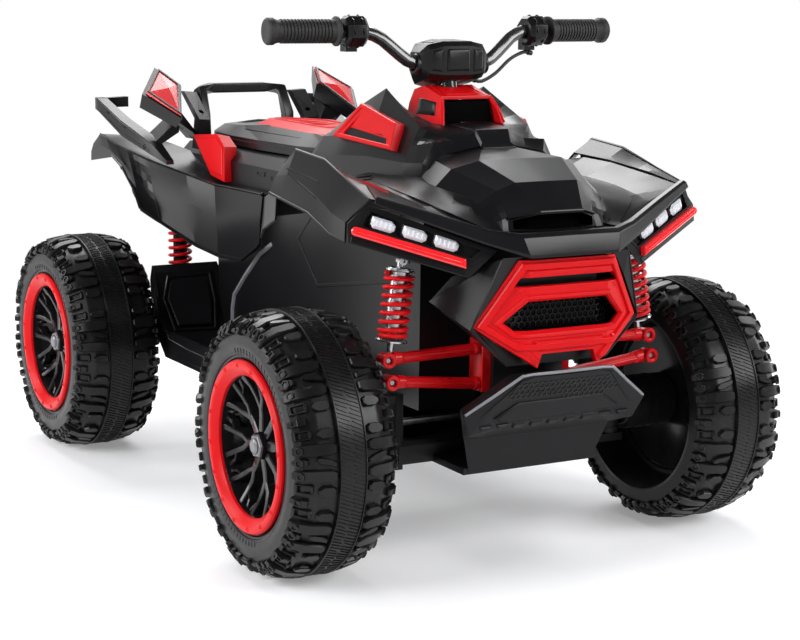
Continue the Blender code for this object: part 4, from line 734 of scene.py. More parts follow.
def capped(obj):    # closes the open ends of a turned piece
    bm = bmesh.new()
    bm.from_mesh(obj.data)
    bmesh.ops.remove_doubles(bm, verts=bm.verts, dist=2e-6)
    bmesh.ops.holes_fill(bm, edges=[e for e in bm.edges if e.is_boundary], sides=0)
    bmesh.ops.recalc_face_normals(bm, faces=bm.faces)
    bm.to_mesh(obj.data)
    bm.free()
    return obj


def makeHubCap():
    cap = lathe("cap", [(0.0330, 0.0), (0.0330, 0.0165), (0.0455, 0.0160), (0.0488, 0.0136), (0.0492, 0.0)], 6)
    crown = lathe("crown", [(0.046, 0.0), (0.046, 0.0105), (0.0505, 0.0098), (0.0522, 0.0070), (0.0524, 0.0)], 36)
    return roundEdges(joined("cap", [cap, crown]), 0.0007)


def makeWheels():
    tyre, ring, cap = makeTyre(), makeRing(), makeHubCap()
    dish, hub = makeRim()
    rim = joined("rim", [softShade(dish), roundEdges(capped(hub), 0.0008), makeSpokes()])
    softShade(rim, 30)
    for end, y in (("front", -wheel["axleY"]), ("rear", wheel["axleY"])):
        for side, word in sides:
            corner = f"{end}_{word}"
            spin = Matrix.Rotation(math.radians(wheel["turns"][corner]), 4, "X")
            face = Matrix.Rotation(0 if side > 0 else math.pi, 4, "Z")
            to = Matrix.Translation((side * wheel["track"], y, wheel["axleZ"])) @ face @ spin
            body = corner + "_wheel"
            settle(place(tyre, to), corner + "TyreTread", body, "tyreBlack", "tread_plastic", [corner + "_tyre"])
            settle(place(rim, to), corner + "RimSpokes", body, "rimBlack", "rim_plastic", [corner + "_rim"])
            settle(place(ring, to), corner + "BeadRing", body, "redGloss", "red_plastic")
            settle(place(cap, to), corner + "HubCap", body, "hubSilver", "rim_plastic")
    for old in (tyre, ring, cap, rim):
        bpy.data.objects.remove(old, do_unlink=True)
    print("wheels made")


# Floor, backdrop light and lamps
studio = {
    "floorSize": 60.0, "floorColour": (0.84, 0.84, 0.85), "floorGlow": 0.24, "fade": (0.75, 1.7),
    "worldLevel": 0.34, "farSide": 0.05, "sight": (0.488, 0.873, 0.0),
    "lamps": [
        # name, place, aims at, width, height, watts
        ("leftBox", (-2.8, -0.7, 1.7), (0, -0.1, 0.35), 1.4, 1.4, 64),
        ("leftBack", (-2.6, 1.7, 1.0), (0, 0, 0.3), 0.9, 1.5, 30),
        ("backTop", (0.4, 2.1, 2.5), (0, 0, 0.35), 3.0, 1.2, 84),
        ("rightFront", (1.5, -2.6, 1.7), (0, -0.3, 0.38), 1.8, 1.2, 62),
        ("rightBox", (2.5, -0.3, 1.1), (0, -0.2, 0.3), 0.7, 1.6, 18),
    ],
}


def seenRay(tree):    # 1 for what the camera sees, straight or in a gloss or through glass
    path = tree.nodes.new("ShaderNodeLightPath")
    rays = [path.outputs[label] for label in ("Is Camera Ray", "Is Glossy Ray", "Is Transmission Ray")]
    return makeMath(tree, "MAXIMUM", makeMath(tree, "MAXIMUM", rays[0], rays[1]), rays[2])


def makeStudio():
    world = bpy.data.worlds.new("studio")
    bpy.context.scene.world = world
    world.use_nodes = True
    tree = world.node_tree
    tree.nodes.clear()
    out = tree.nodes.new("ShaderNodeOutputWorld")
    mix = tree.nodes.new("ShaderNodeMixShader")
    plain, white = tree.nodes.new("ShaderNodeBackground"), tree.nodes.new("ShaderNodeBackground")
    plain.inputs["Color"].default_value = (0.92, 0.94, 1.0, 1)
    plain.inputs["Strength"].default_value = studio["worldLevel"]
    white.inputs["Color"].default_value = (1, 1, 1, 1)
    side = tree.nodes.new("ShaderNodeVectorMath")    # white ahead of the camera, a dim room behind it
    side.operation = "DOT_PRODUCT"
    side.inputs[1].default_value = studio["sight"]
    tree.links.new(tree.nodes.new("ShaderNodeTexCoord").outputs["Generated"], side.inputs[0])
    level = makeRange(tree, side.outputs["Value"], 0.45, 0.85, studio["farSide"], 1.0)
    straight = tree.nodes.new("ShaderNodeLightPath").outputs["Is Camera Ray"]
    tree.links.new(makeMath(tree, "MAXIMUM", level, straight), white.inputs["Strength"])
    tree.links.new(seenRay(tree), mix.inputs["Fac"])
    tree.links.new(plain.outputs[0], mix.inputs[1])
    tree.links.new(white.outputs[0], mix.inputs[2])
    tree.links.new(mix.outputs[0], out.inputs["Surface"])

    floorMaterial = bpy.data.materials.new("paleFloor")
    floorMaterial.use_nodes = True
    tree = floorMaterial.node_tree
    tree.nodes.clear()
    out = tree.nodes.new("ShaderNodeOutputMaterial")
    matt, glow, far = (tree.nodes.new(kind) for kind in
                       ("ShaderNodeBsdfDiffuse", "ShaderNodeEmission", "ShaderNodeEmission"))
    both, fade, mix = (tree.nodes.new(kind) for kind in
                       ("ShaderNodeAddShader", "ShaderNodeMixShader", "ShaderNodeMixShader"))
    matt.inputs["Color"].default_value = (*studio["floorColour"], 1)
    glow.inputs["Strength"].default_value = studio["floorGlow"]
    far.inputs["Strength"].default_value = 1.0
    reach = tree.nodes.new("ShaderNodeVectorMath")
    reach.operation = "LENGTH"
    tree.links.new(tree.nodes.new("ShaderNodeTexCoord").outputs["Object"], reach.inputs[0])
    tree.links.new(makeRange(tree, reach.outputs["Value"], *studio["fade"], 0.0, 1.0), fade.inputs["Fac"])
    tree.links.new(matt.outputs[0], both.inputs[0])
    tree.links.new(glow.outputs[0], both.inputs[1])
    tree.links.new(both.outputs[0], fade.inputs[1])
    tree.links.new(far.outputs[0], fade.inputs[2])
    tree.links.new(seenRay(tree), mix.inputs["Fac"])
    tree.links.new(matt.outputs[0], mix.inputs[1])
    tree.links.new(fade.outputs[0], mix.inputs[2])
    tree.links.new(mix.outputs[0], out.inputs["Surface"])
    half = studio["floorSize"] / 2
    mesh = bpy.data.meshes.new("floor")
    mesh.from_pydata([(-half, -half, 0), (half, -half, 0), (half, half, 0), (-half, half, 0)], [], [(0, 1, 2, 3)])
    floor = link(bpy.data.objects.new("floor", mesh))
    floor.data.materials.append(floorMaterial)

    for name, spot, aim, width, height, watts in studio["lamps"]:
        lamp = bpy.data.lights.new(name, "AREA")
        lamp.shape = "RECTANGLE"
        lamp.size, lamp.size_y, lamp.energy = width, height, watts
        obj = link(bpy.data.objects.new(name, lamp))
        toward = (Vector(aim) - Vector(spot)).to_track_quat("-Z", "Y")
        obj.matrix_world = Matrix.Translation(spot) @ toward.to_matrix().to_4x4()
    bpy.context.scene.view_settings.view_transform = "Standard"
    print("studio made")


# Places on the CAD surfaces, and strips and plates laid on them
surfaces = {}


def surface(node):
    if node not in surfaces:
        mesh = nodes[node].data
        surfaces[node] = BVHTree.FromPolygons([v.co[:] for v in mesh.vertices], [p.vertices[:] for p in mesh.polygons])
    return surfaces[node]


def seen(node, pixel):    # the point of this node under a pixel of the photograph, with its normal
    focal = camera["lens"] / 36 * 800
    across, upward, ahead = (Vector(camera[key]) for key in ("right", "up", "forward"))
    way = (ahead + across * (pixel[0] - 400) / focal + upward * (320 - pixel[1]) / focal).normalized()
    eye = Vector(camera["place"])
    spot, normal, _, _ = surface(node).ray_cast(eye, way)
    if spot is None:
        spot, normal, _, _ = surface(node).find_nearest(eye + way * (Vector((-0.1, -0.3, 0.4)) - eye).length)
    return spot, normal if normal.dot(way) < 0 else -normal


def cast(node, start, way):    # where a line from outside meets this node, with its normal
    spot, normal, _, _ = surface(node).ray_cast(Vector(start), Vector(way).normalized())
    if spot is None:
        spot, normal, _, _ = surface(node).find_nearest(Vector(start))
    return spot, normal if normal.dot(Vector(way)) < 0 else -normal


def traced(node, pixels, steps=5):    # a pixel line laid on the node
    spots = []
    for a, b in zip(pixels, pixels[1:]):
        for k in range(steps):
            spots.append(seen(node, (a[0] + (b[0] - a[0]) * k / steps, a[1] + (b[1] - a[1]) * k / steps)))
    return [*spots, seen(node, pixels[-1])]


def bead(name, spots, width, height, sink=0.0008, top=0.45):    # raised strip along (point, normal) pairs
    rings = []
    for k, (spot, normal) in enumerate(spots):
        along = spots[min(k + 1, len(spots) - 1)][0] - spots[max(k - 1, 0)][0]
        across = normal.cross(along).normalized() * width / 2
        ends = height * (0.35 if k in (0, len(spots) - 1) else 1)
        rings.append([spot - across - normal * sink, spot - across * top + normal * ends,
                      spot + across * top + normal * ends, spot + across - normal * sink])
    return loft(name, rings)


def plate(name, corners, normal, lift, edge, sink=0.001):    # flat raised plate with a sloping edge
    normal = Vector(normal).normalized()
    inner = shrunk([Vector(c) for c in corners], edge, normal)
    rings = [[Vector(c) - normal * sink for c in corners], [Vector(c) + normal * lift * 0.35 for c in corners],
             [c + normal * lift for c in inner]]
    return loft(name, rings)


def shrunk(corners, inset, normal):    # the outline moved inwards by this much
    count, made = len(corners), []
    centre = sum(corners, Vector()) / count
    for k, corner in enumerate(corners):
        before, after = corners[k - 1], corners[(k + 1) % count]
        ins = []
        for a, b in ((before, corner), (corner, after)):
            edge = (b - a).normalized()
            side = normal.cross(edge).normalized()
            ins.append(side if side.dot(centre - (a + b) / 2) > 0 else -side)
        half = (ins[0] + ins[1])
        half = half.normalized() if half.length > 1e-6 else ins[0]
        made.append(corner + half * inset / max(0.35, half.dot(ins[0])))
    return made


def bandLoop(name, loops):    # closed ring made of equal closed outlines, the last joined to the first
    bm = bmesh.new()
    made = [[bm.verts.new(p) for p in loop] for loop in loops]
    count = len(made[0])
    for k, loop in enumerate(made):
        after = made[(k + 1) % len(made)]
        for i in range(count):
            j = (i + 1) % count
            bm.faces.new((loop[i], loop[j], after[j], after[i]))
    return shell(name, bm)


def framed(name, corners, normal, width, low, high, slope):    # raised frame round an outline
    normal = Vector(normal).normalized()
    corners = [Vector(c) for c in corners]
    loops = []
    for inset, rise in ((0, low), (0, high - slope), (slope, high), (width - slope, high),
                        (width, high - slope), (width, low)):
        loops.append([p + normal * rise for p in shrunk(corners, inset, normal)])
    return bandLoop(name, loops)


def keepIslands(obj, wanted):    # drops the separate shells whose middle isn't wanted
    bm = bmesh.new()
    bm.from_mesh(obj.data)
    left = set(bm.verts)
    drop = []
    while left:
        queue, island = [left.pop()], []
        while queue:
            vert = queue.pop()
            island.append(vert)
            for edge in vert.link_edges:
                other = edge.other_vert(vert)
                if other in left:
                    left.remove(other)
                    queue.append(other)
        if not wanted(sum((v.co for v in island), Vector()) / len(island)):
            drop += island
    bmesh.ops.delete(bm, geom=drop, context="VERTS")
    bm.to_mesh(obj.data)
    bm.free()
    return obj


def inside(point, outline):    # whether a flat point lies in a flat outline
    found = False
    for (ax, ay), (bx, by) in zip(outline, [*outline[1:], outline[0]]):
        if (ay > point[1]) != (by > point[1]) and point[0] < (bx - ax) * (point[1] - ay) / (by - ay) + ax:
            found = not found
    return found


def honeycomb(name, origin, right, up, outline, cell, depth, finish):    # hexagon mesh filling a flat outline
    right, up = Vector(right).normalized(), Vector(up).normalized()
    normal = right.cross(up)
    loops = []
    for size, rise in ((0.62, 0), (0.62, depth), (0.50, depth), (0.44, 0)):
        turns = [math.pi / 6 + math.pi / 3 * k for k in range(6)]
        loops.append([(right * math.cos(a) + up * math.sin(a)) * cell * size - normal * (depth - rise) for a in turns])
    ring = bandLoop(name, loops)
    lows = [min(p[k] for p in outline) for k in (0, 1)]
    highs = [max(p[k] for p in outline) for k in (0, 1)]
    columns = int((highs[0] - lows[0]) / cell) + 2
    rows = int((highs[1] - lows[1]) / (cell * 0.866)) + 2
    start = Vector(origin) + right * lows[0] + up * lows[1]
    ring.data.transform(Matrix.Translation(start))
    comb = spread(ring, "comb", finish, Rows=rows, Columns=columns, Across=right * cell, Up=up * cell * 0.866)

    def wanted(middle):
        rel = middle - Vector(origin)
        return inside((rel.dot(right), rel.dot(up)), outline)

    return keepIslands(comb, wanted)


def both(pieces):    # each piece and its mirror image
    return [*pieces, *[mirrorPiece(piece, piece.name) for piece in pieces]]


def screw(spot, way, radius=0.0035, depth=0.0008):    # countersunk cross-head screw
    head = capped(lathe("screw", [(-0.002, radius), (depth * 0.2, radius), (depth, radius * 0.72), (depth, 0.0002)],
                        14, spot, way))
    side, up = axes(way)
    way = Vector(way).normalized()
    slots = []
    for a, b in ((side, up), (up, side)):
        ring = [Vector(spot) + a * i * radius * 0.5 + b * j * radius * 0.12 - way * 0.0004
                for i, j in ((-1, -1), (1, -1), (1, 1), (-1, 1))]
        slots.append(prism("slot", ring, way * (depth + 0.002)))
    return cut(head, *slots)


# Headlamps: black recess, three bevelled lamps, red light bar and black lower edge, on one slanted face
lampFace = {
    "low": (0.2465, -0.4365, 0.4060), "along": (-0.8691, -0.4051, -0.2839),
    "up": (-0.3226, 0.0292, 0.9460), "out": (0.3749, -0.9137, 0.1560),
    "opening": [(0.0090, 0.0222), (0.0120, 0.0420), (0.1500, 0.0352), (0.1400, 0.0222)],
    "depth": 0.0065, "lampStart": 0.018, "lampStep": 0.038, "lampWide": 0.0285,
    "lampLow": 0.0240, "lampHigh": 0.0375,
}


def onLamp(a, b, depth=0.0):    # along the face, up it, and out of it
    low, along, up, out = (Vector(lampFace[key]) for key in ("low", "along", "up", "out"))
    return low + along * a + up * b + out * depth


def lampSlab(name, outline, low, high, slope):    # flat slab on the lamp's face with a sloping edge
    corners = [onLamp(a, b, 0) for a, b in outline]
    out = Vector(lampFace["out"])
    inner = shrunk(corners, slope, out)
    return loft(name, [[p + out * low for p in corners], [p + out * (high - slope * 0.8) for p in corners],
                       [p + out * high for p in inner]])


def lampOutline(start, grow=0.0):
    wide, low, high = lampFace["lampWide"], lampFace["lampLow"], lampFace["lampHigh"]
    return [(start - grow, low + 0.004 - grow), (start - grow, high + grow), (start + wide * 0.80 + grow, high + grow),
            (start + wide + grow, high - 0.004 + grow), (start + wide + grow, low + 0.0035 - grow),
            (start + wide - 0.004 + grow, low - grow), (start + 0.0035 - grow, low - grow)]


def makeHeadlamps():
    depth = lampFace["depth"]
    pocket = prism("pocket", [onLamp(a, b, -depth) for a, b in lampFace["opening"]], Vector(lampFace["out"]) * 0.03)
    housing = cut(nodeCopy("headlamp_housing_left"), pocket)
    rim = framed("rim", [onLamp(a, b, 0) for a, b in lampFace["opening"]], lampFace["out"], -0.0016, -0.003, 0.0009,
                 0.0004)
    housing = joined("housing", [roundEdges(housing, 0.0007), roundEdges(rim, 0.0002)])
    lower = lampSlab("edge", [(0.0015, 0.0004), (0.0005, 0.0078), (0.1405, 0.0078), (0.1390, 0.0004)], -0.001, 0.0011,
                     0.0008)
    arc = [(0.0035 - 0.0052 * math.sin(t), 0.0147 - 0.0052 * math.cos(t)) for t in
           (0.0, 0.5, 1.0, math.pi / 2, 2.14, 2.64, math.pi)]
    bar = lampSlab("bar", [(0.1375, 0.0095), *arc, (0.1345, 0.0199)], 0.0004, 0.0078, 0.0016)
    groove = [onLamp(a, 0.0147, 0.0081) for a in (0.006, 0.130)]
    line = sweep("line", groove, 0.0009, 8)
    lenses, bezels, rings = [], [], []
    for k in range(3):
        start = lampFace["lampStart"] + k * lampFace["lampStep"]
        bezels.append(lampSlab("bezel", lampOutline(start, 0.0016), -depth - 0.001, -0.0030, 0.0006))
        lenses.append(lampSlab("lens", lampOutline(start), -0.0034, 0.0012, 0.0028))
        rings.append(framed("ring", [onLamp(a, b, 0) for a, b in lampOutline(start, 0.0004)], lampFace["out"],
                            0.0009, -0.0032, -0.0012, 0.0003))
        for n in range(4):
            a = start + 0.0058 + n * 0.0054
            lenses.append(lampSlab("flute", [(a, 0.0268), (a, 0.0350), (a + 0.0030, 0.0350), (a + 0.0030, 0.0268)],
                                   0.0, 0.0018, 0.0005))
    lamps = joined("lamps", lenses)
    seats = joined("seats", bezels)
    chrome = joined("chrome", rings)
    # the housing is in the darker recess black: painted shade in the lamp pocket
    shapes = [("HeadlampHousing", housing, "recessShadeBlack", "body_plastic", ["headlamp_housing_"]),
              ("LampLenses", roundEdges(lamps, 0.0003), "lampWhite", "lamp_plastic", ["headlamp_lens_"]),
              ("LampSeats", roundEdges(seats, 0.0003), "rimBlack", "body_plastic", []),
              ("LampRings", chrome, "brightSteel", "bright_steel", []),
              ("LightBar", roundEdges(joined("bar", [bar, line]), 0.0004), "lightBar", "lamp_plastic", ["light_bar_"]),
              ("LampEdge", roundEdges(lower, 0.0003), "satinBlack", "body_plastic", [])]
    for label, piece, finish, slot, stands in shapes:
        for side, word in sides:
            one = piece if side > 0 else mirrorPiece(piece, piece.name)
            settle(one, word + label, "chassis", finish, slot, [stand + word for stand in stands])
    print("headlamps made")


# Grille: chamfered red frames round the slot and the mouth, on the nose's bend
grille = {
    "front": -0.5225, "depth": 0.010, "flat": 0.055, "bend": 0.46,
}


def onNose(x, z, y):    # a point of the nose, swept back past its flat middle
    return Vector((x, y + max(0.0, abs(x) - grille["flat"]) * grille["bend"], z))


def wholeOutline(half):    # both halves, with corners where the nose bends
    points = []
    for (ax, az), (bx, bz) in zip(half, [*half[1:], (0.0, half[-1][1])]):
        points.append((ax, az))
        flat = grille["flat"]
        if (ax - flat) * (bx - flat) < 0:
            share = (flat - ax) / (bx - ax)
            points.append((flat, az + (bz - az) * share))
    if half[0][0] > grille["flat"]:
        points.insert(0, (grille["flat"], half[0][1]))
    return points + [(-x, z) for x, z in reversed(points)]


def noseLoop(half, inset, y):
    flat = [Vector((x, 0, z)) for x, z in wholeOutline(half)]
    return [onNose(p.x, p.z, y) for p in shrunk(flat, inset, Vector((0, 1, 0)))] if inset else \
        [onNose(p.x, p.z, y) for p in flat]


def noseBand(name, half, steps):    # ring through (inset, y) steps round an outline
    return bandLoop(name, [noseLoop(half, inset, y) for inset, y in steps])


def makeGrille():
    front = grille["front"]
    frame_ = roundEdges(nodeCopy("grille_frame"), 0.0006, 2, 20)
    hexagon = [(0.0655, 0.3830), (0.1125, 0.3070), (0.0700, 0.2785)]
    outer = noseBand("outer", hexagon, [(0.0002, front + 0.002), (0.0006, front - 0.0022), (0.0022, front - 0.0042),
                                        (0.0078, front - 0.0036), (0.0094, front - 0.0008), (0.0094, front + 0.002)])
    mouth = [(0.0590, 0.3450), (0.0945, 0.3110), (0.0720, 0.2935)]
    inner = noseBand("inner", mouth, [(0.0002, front + 0.002), (0.0004, front - 0.0010), (0.0016, front - 0.0028),
                                      (0.0052, front - 0.0020), (0.0086, front + 0.0030), (0.0086, front + 0.006)])
    parts = [frame_, roundEdges(outer, 0.0004), roundEdges(inner, 0.0004)]
    for low, high, reach in ((0.3455, 0.3530, 0.0710), (0.3668, 0.3735, 0.0600)):    # bars over and under the slot
        ring = [(-reach, low), (reach, low), (reach - 0.003, high), (-reach + 0.003, high)]
        corners = [onNose(x, z, front) for x, z in ring]
        parts.append(roundEdges(plate("bar", corners, (0, -1, 0), 0.0026, 0.0016), 0.0003))
    apron = [(-0.0500, 0.2905), (0.0500, 0.2905), (0.0400, 0.2775), (-0.0400, 0.2775)]
    parts.append(roundEdges(plate("apron", [onNose(x, z, front) for x, z in apron], (0, -1, 0), 0.0032, 0.0020),
                            0.0003))
    for hand in (-1, 1):    # pointed legs
        ring = [(0.0640, 0.2900), (0.0840, 0.2895), (0.0445, 0.2610), (0.0405, 0.2680)]
        corners = [onNose(hand * x, z, front) for x, z in ring]
        parts.append(roundEdges(plate("leg", corners, (0, -1, 0), 0.0040, 0.0024), 0.0003))
    settle(crisp(joined("grille", parts)), "GrilleFrame", *redShell, ["grille_frame"])
    opening = [(0.0840, 0.3110), (0.0600, 0.3420), (-0.0600, 0.3420), (-0.0840, 0.3110), (-0.0660, 0.2930),
               (0.0660, 0.2930)]
    comb = honeycomb("comb", (0, -0.5030, 0), (1, 0, 0), (0, 0, 1), opening, 0.0078, 0.0030, "rimBlack")
    for vert in comb.data.vertices:
        vert.co.y += max(0.0, abs(vert.co.x) - grille["flat"]) * grille["bend"]
    settle(comb, "GrilleHoneycomb", "chassis", "rimBlack", "body_plastic")
    print("grille made")


# Nose: fascia, bumper with its honeycomb panel, and the skid's ribs


def onBumper(x, z, lift=0.0):    # a point of the bumper's front, from straight ahead
    spot, normal = cast("front_bumper", (x, -0.9, z), (0, 1, 0))
    return spot + normal * lift, normal


def onBumperFace(points, lift=0.0):
    return [onBumper(x, z, lift)[0] for x, z in points]


def makeNose():
    parts = [roundEdges(nodeCopy("front_fascia"), 0.0009, 2, 12)]
    for hand in (-1, 1):
        edge = [(0.0900, 0.3860), (0.1185, 0.3045), (0.0730, 0.2620)]
        line = []
        for (ax, az), (bx, bz) in zip(edge, edge[1:]):
            for k in range(4):
                x, z = ax + (bx - ax) * k / 4, az + (bz - az) * k / 4
                line.append(cast("front_fascia", (hand * (x - 0.0012), -0.9, z), (0, 1, 0)))
        line.append(cast("front_fascia", (hand * (edge[-1][0] - 0.001), -0.9, edge[-1][1]), (0, 1, 0)))
        parts.append(bead("edge", line, 0.0030, 0.0012))
    settle(crisp(joined("fascia", parts)), "FrontFascia", *blackShell, ["front_fascia"])

    parts = [roundEdges(nodeCopy("front_bumper"), 0.0014, 3, 12)]
    left = [(0.0470, 0.2470), (0.0640, 0.2440), (0.0945, 0.2130), (0.1080, 0.2000)]
    for hand in (-1, 1):    # sunk-looking border of the honeycomb panel
        parts.append(bead("border", [onBumper(hand * x, z) for x, z in left], 0.0028, 0.0016))
    parts.append(bead("border", [onBumper(x, 0.2476) for x in (-0.048, -0.024, 0, 0.024, 0.048)], 0.0028, 0.0016))
    lowBand = [(-0.0900, 0.1980), (-0.0600, 0.2160), (0.0600, 0.2160), (0.0900, 0.1980), (0.0780, 0.1940),
               (-0.0780, 0.1940)]
    parts.append(roundEdges(plate("apron", onBumperFace(lowBand), onBumper(0, 0.205)[1], 0.0030, 0.0022), 0.0004))
    for k in range(-4, 5):    # ribs along the skid's lower edge
        x = k * 0.0245
        rib = [onBumper(x - 0.0085, 0.1895)[0], onBumper(x + 0.0085, 0.1895)[0],
               onBumper(x + 0.0060, 0.1820 if abs(k) < 3 else 0.1840)[0],
               onBumper(x - 0.0060, 0.1820 if abs(k) < 3 else 0.1840)[0]]
        if abs(k) < 5:
            parts.append(roundEdges(plate("rib", rib, onBumper(x, 0.187)[1], 0.0032, 0.0018), 0.0004))
    settle(crisp(joined("bumper", parts)), "FrontBumper", "chassis", "bumperBlack", "body_plastic", ["front_bumper"])
    strips = []
    for hand in (-1, 1):
        top = [(0.0500, 0.2512), (0.0640, 0.2505), (0.0960, 0.2270), (0.1270, 0.2050)]
        strips.append(bead("strip", [onBumper(hand * x, z) for x, z in top], 0.0042, 0.0016))
    strips.append(bead("strip", [onBumper(x, 0.2512) for x in (-0.052, -0.026, 0, 0.026, 0.052)], 0.0042, 0.0016))
    settle(roundEdges(joined("strips", strips), 0.0004), "BumperEdge", "chassis", "edgeGrey", "body_plastic")
    spot, normal = onBumper(0, 0.232)
    up = (Vector((0, 0, 1)) - normal * normal.z).normalized()
    opening = [(-0.0600, 0.0100), (0.0600, 0.0100), (0.0820, -0.0120), (0.0560, -0.0140), (-0.0560, -0.0140),
               (-0.0820, -0.0120)]
    comb = honeycomb("comb", spot + normal * 0.0012, (1, 0, 0), up, opening, 0.0074, 0.0016, "rimBlack")
    for vert in comb.data.vertices:
        ground = cast("front_bumper", (vert.co.x, -0.9, vert.co.z), (0, 1, 0))[0]
        vert.co.y = ground.y + (vert.co.y - (spot + normal * 0.0012).y
                                - (vert.co.z - spot.z) * (-normal.z / normal.y)) - 0.0006
    settle(comb, "BumperHoneycomb", "chassis", "rimBlack", "body_plastic")
    print("nose made")


# Suspension and steering: coils, dampers, arms and drums
def coilPath(foot, head, turns, radius, wire, steps=18):
    foot, head = Vector(foot), Vector(head)
    height = (head - foot).length
    along = (head - foot).normalized()
    side, up = axes(along)
    rise, total, path = wire, int(turns * steps), []
    closed = 2 * wire + 0.0006
    free = (height - 2 * wire - 2 * closed) / (turns - 2)
    for k in range(total + 1):
        angle = 2 * math.pi * k / steps
        path.append(foot + along * rise + (side * math.cos(angle) + up * math.sin(angle)) * radius)
        turn = (k + 0.5) / steps
        rise += (closed if turn < 1 or turn > turns - 1 else free) / steps
    return path


springs = {
    "wire": 0.0027, "sides": 10,
    "front": {"ends": ((0.178, -0.415, 0.2815), (0.165, -0.413, 0.369)), "end": 0.0046, "turns": 8, "radius": 0.0162},
    "rear": {"ends": ((0.124, 0.36, 0.1914), (0.124, 0.36, 0.3336)), "turns": 13, "radius": 0.0160, "shortest": 0.897},
}


def makeSprings():
    wire, front, rear = springs["wire"], springs["front"], springs["rear"]
    for side, word in sides:
        foot, head = (Vector((side * x, y, z)) for x, y, z in springs["front"]["ends"])
        along = (head - foot).normalized()
        path = coilPath(foot + along * front["end"], head - along * front["end"], front["turns"], front["radius"], wire)
        coil = sweep("coil", path, wire, springs["sides"])
        settle(softShade(coil, 60), word + "FrontSpring", "chassis", "redGloss", "red_metal", ["front_spring_" + word])
        low, high = ((side * x, y, z) for x, y, z in rear["ends"])
        coil = sweep("coil", coilPath(low, high, rear["turns"], rear["radius"], wire), wire, springs["sides"])
        piece = settle(softShade(coil, 60), word + "RearSpring", "chassis", "redGloss", "red_metal",
                       ["rear_spring_" + word])
        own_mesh(piece)
    print("springs made")


def makeDampers():
    length = 0.0885
    for side, word in sides:
        foot, head = (Vector((side * x, y, z)) for x, y, z in springs["front"]["ends"])
        along = (head - foot).normalized()
        shaft = lathe("shaft", [
            (-0.0118, 0.0002), (-0.0118, 0.0040), (-0.0005, 0.0042), (-0.0005, 0.0100), (0.0, 0.0160), (0.0006, 0.0186),
            (0.0022, 0.0190), (0.0030, 0.0184), (0.0040, 0.0176), (0.0042, 0.0112), (0.0080, 0.0106), (0.0082, 0.0098),
            (0.0400, 0.0098), (0.0402, 0.0106), (0.0430, 0.0106), (0.0432, 0.0098), (0.0470, 0.0098), (0.0472, 0.0106),
            (0.0500, 0.0106), (0.0502, 0.0098), (0.0740, 0.0098), (0.0742, 0.0110), (length - 0.0046, 0.0112),
            (length - 0.0044, 0.0160), (length - 0.0036, 0.0172), (length - 0.0016, 0.0172), (length - 0.0012, 0.0150),
            (length - 0.0004, 0.0150), (length + 0.0006, 0.0120), (length + 0.0010, 0.0046), (length + 0.0105, 0.0046),
            (length + 0.0105, 0.0002)], 40, foot, along)
        rings = []
        for low in (0.0100, 0.0240, 0.0560):
            rings.append(hoop("ring", low, low + 0.0009, 0.0094, 0.0103, 32, foot, along))
        eye = hoop("eye", -0.005, 0.005, 0.0026, 0.0052, 24, head + along * 0.0085, (0, 1, 0))
        piece = softShade(joined("damper", [capped(shaft), eye, *rings]), 25)
        settle(piece, word + "FrontDamper", "chassis", "brightSteel", "bright_steel", ["front_damper_" + word])
        sleeve = lathe("sleeve",
                       [(0.0058, 0.0102), (0.0050, 0.0120), (0.0052, 0.0142), (0.0064, 0.0144), (0.0074, 0.0128),
                        (0.0074, 0.0104)], 32, foot, along, loop=True)
        settle(softShade(sleeve, 25), word + "DamperStop", "chassis", "gripRubber", "grip_rubber")
    print("dampers made")


def makeArms():
    arms = nodeCopy("front_arms")
    bolts, eyes = [], []
    drills = []
    ends = []
    for side, _ in sides:
        ends += [(side * 0.188, -0.419, 0.2620), (side * 0.187, -0.427, 0.2370)]
    for x, y, z in ends:
        drills.append(lathe("drill", [(-0.0125, 0.0), (-0.0125, 0.0044), (-0.004, 0.0044), (-0.004, 0.0)], 16,
                            (x, y, z), (0, 1, 0)))
        eyes.append(lathe("eye", [(-0.0112, 0.0050), (-0.0118, 0.0060), (-0.0118, 0.0082), (-0.0106, 0.0094),
                                  (-0.0066, 0.0094), (-0.0058, 0.0084), (-0.0058, 0.0050)], 24, (x, y, z), (0, 1, 0),
                          loop=True))
        bolts.append(capped(lathe("bolt", [(-0.0080, 0.0002), (-0.0080, 0.0030), (-0.0072, 0.0036), (-0.0030, 0.0036)],
                                  6, (x, y, z), (0, 1, 0))))
    arms = roundEdges(cut(arms, *[capped(drill) for drill in drills]), 0.0007, 2, 30)
    ribs = []
    for side, _ in sides:    # stiffening web and collars near the cradle
        for inner, outer in (((0.056, -0.425, 0.2660), (0.188, -0.419, 0.2620)),
                             ((0.056, -0.425, 0.2220), (0.187, -0.427, 0.2370))):
            start, end = Vector((side * inner[0], *inner[1:])), Vector((side * outer[0], *outer[1:]))
            ribs.append(lathe("collar", [(0.010, 0.0066), (0.010, 0.0084), (0.013, 0.0084), (0.016, 0.0068)], 20, start,
                              end - start, loop=True))
            far = (end - start).length
            ribs.append(lathe("collar", [(far - 0.022, 0.0066), (far - 0.019, 0.0080), (far - 0.010, 0.0084),
                                         (far - 0.010, 0.0066)], 20, start, end - start, loop=True))
            spine = [start.lerp(end, t) + Vector((0, -0.0066, 0)) for t in (0.14, 0.5, 0.84)]
            ribs.append(sweep("spine", spine, 0.0011, 6))
    settle(softShade(joined("arms", [arms, *eyes, *ribs]), 35), "FrontArms", "chassis", "redPaint", "red_metal",
           ["front_arms"])
    settle(softShade(joined("bolts", bolts), 30), "ArmBolts", "chassis", "zincSteel", "bright_steel")
    print("arms made")


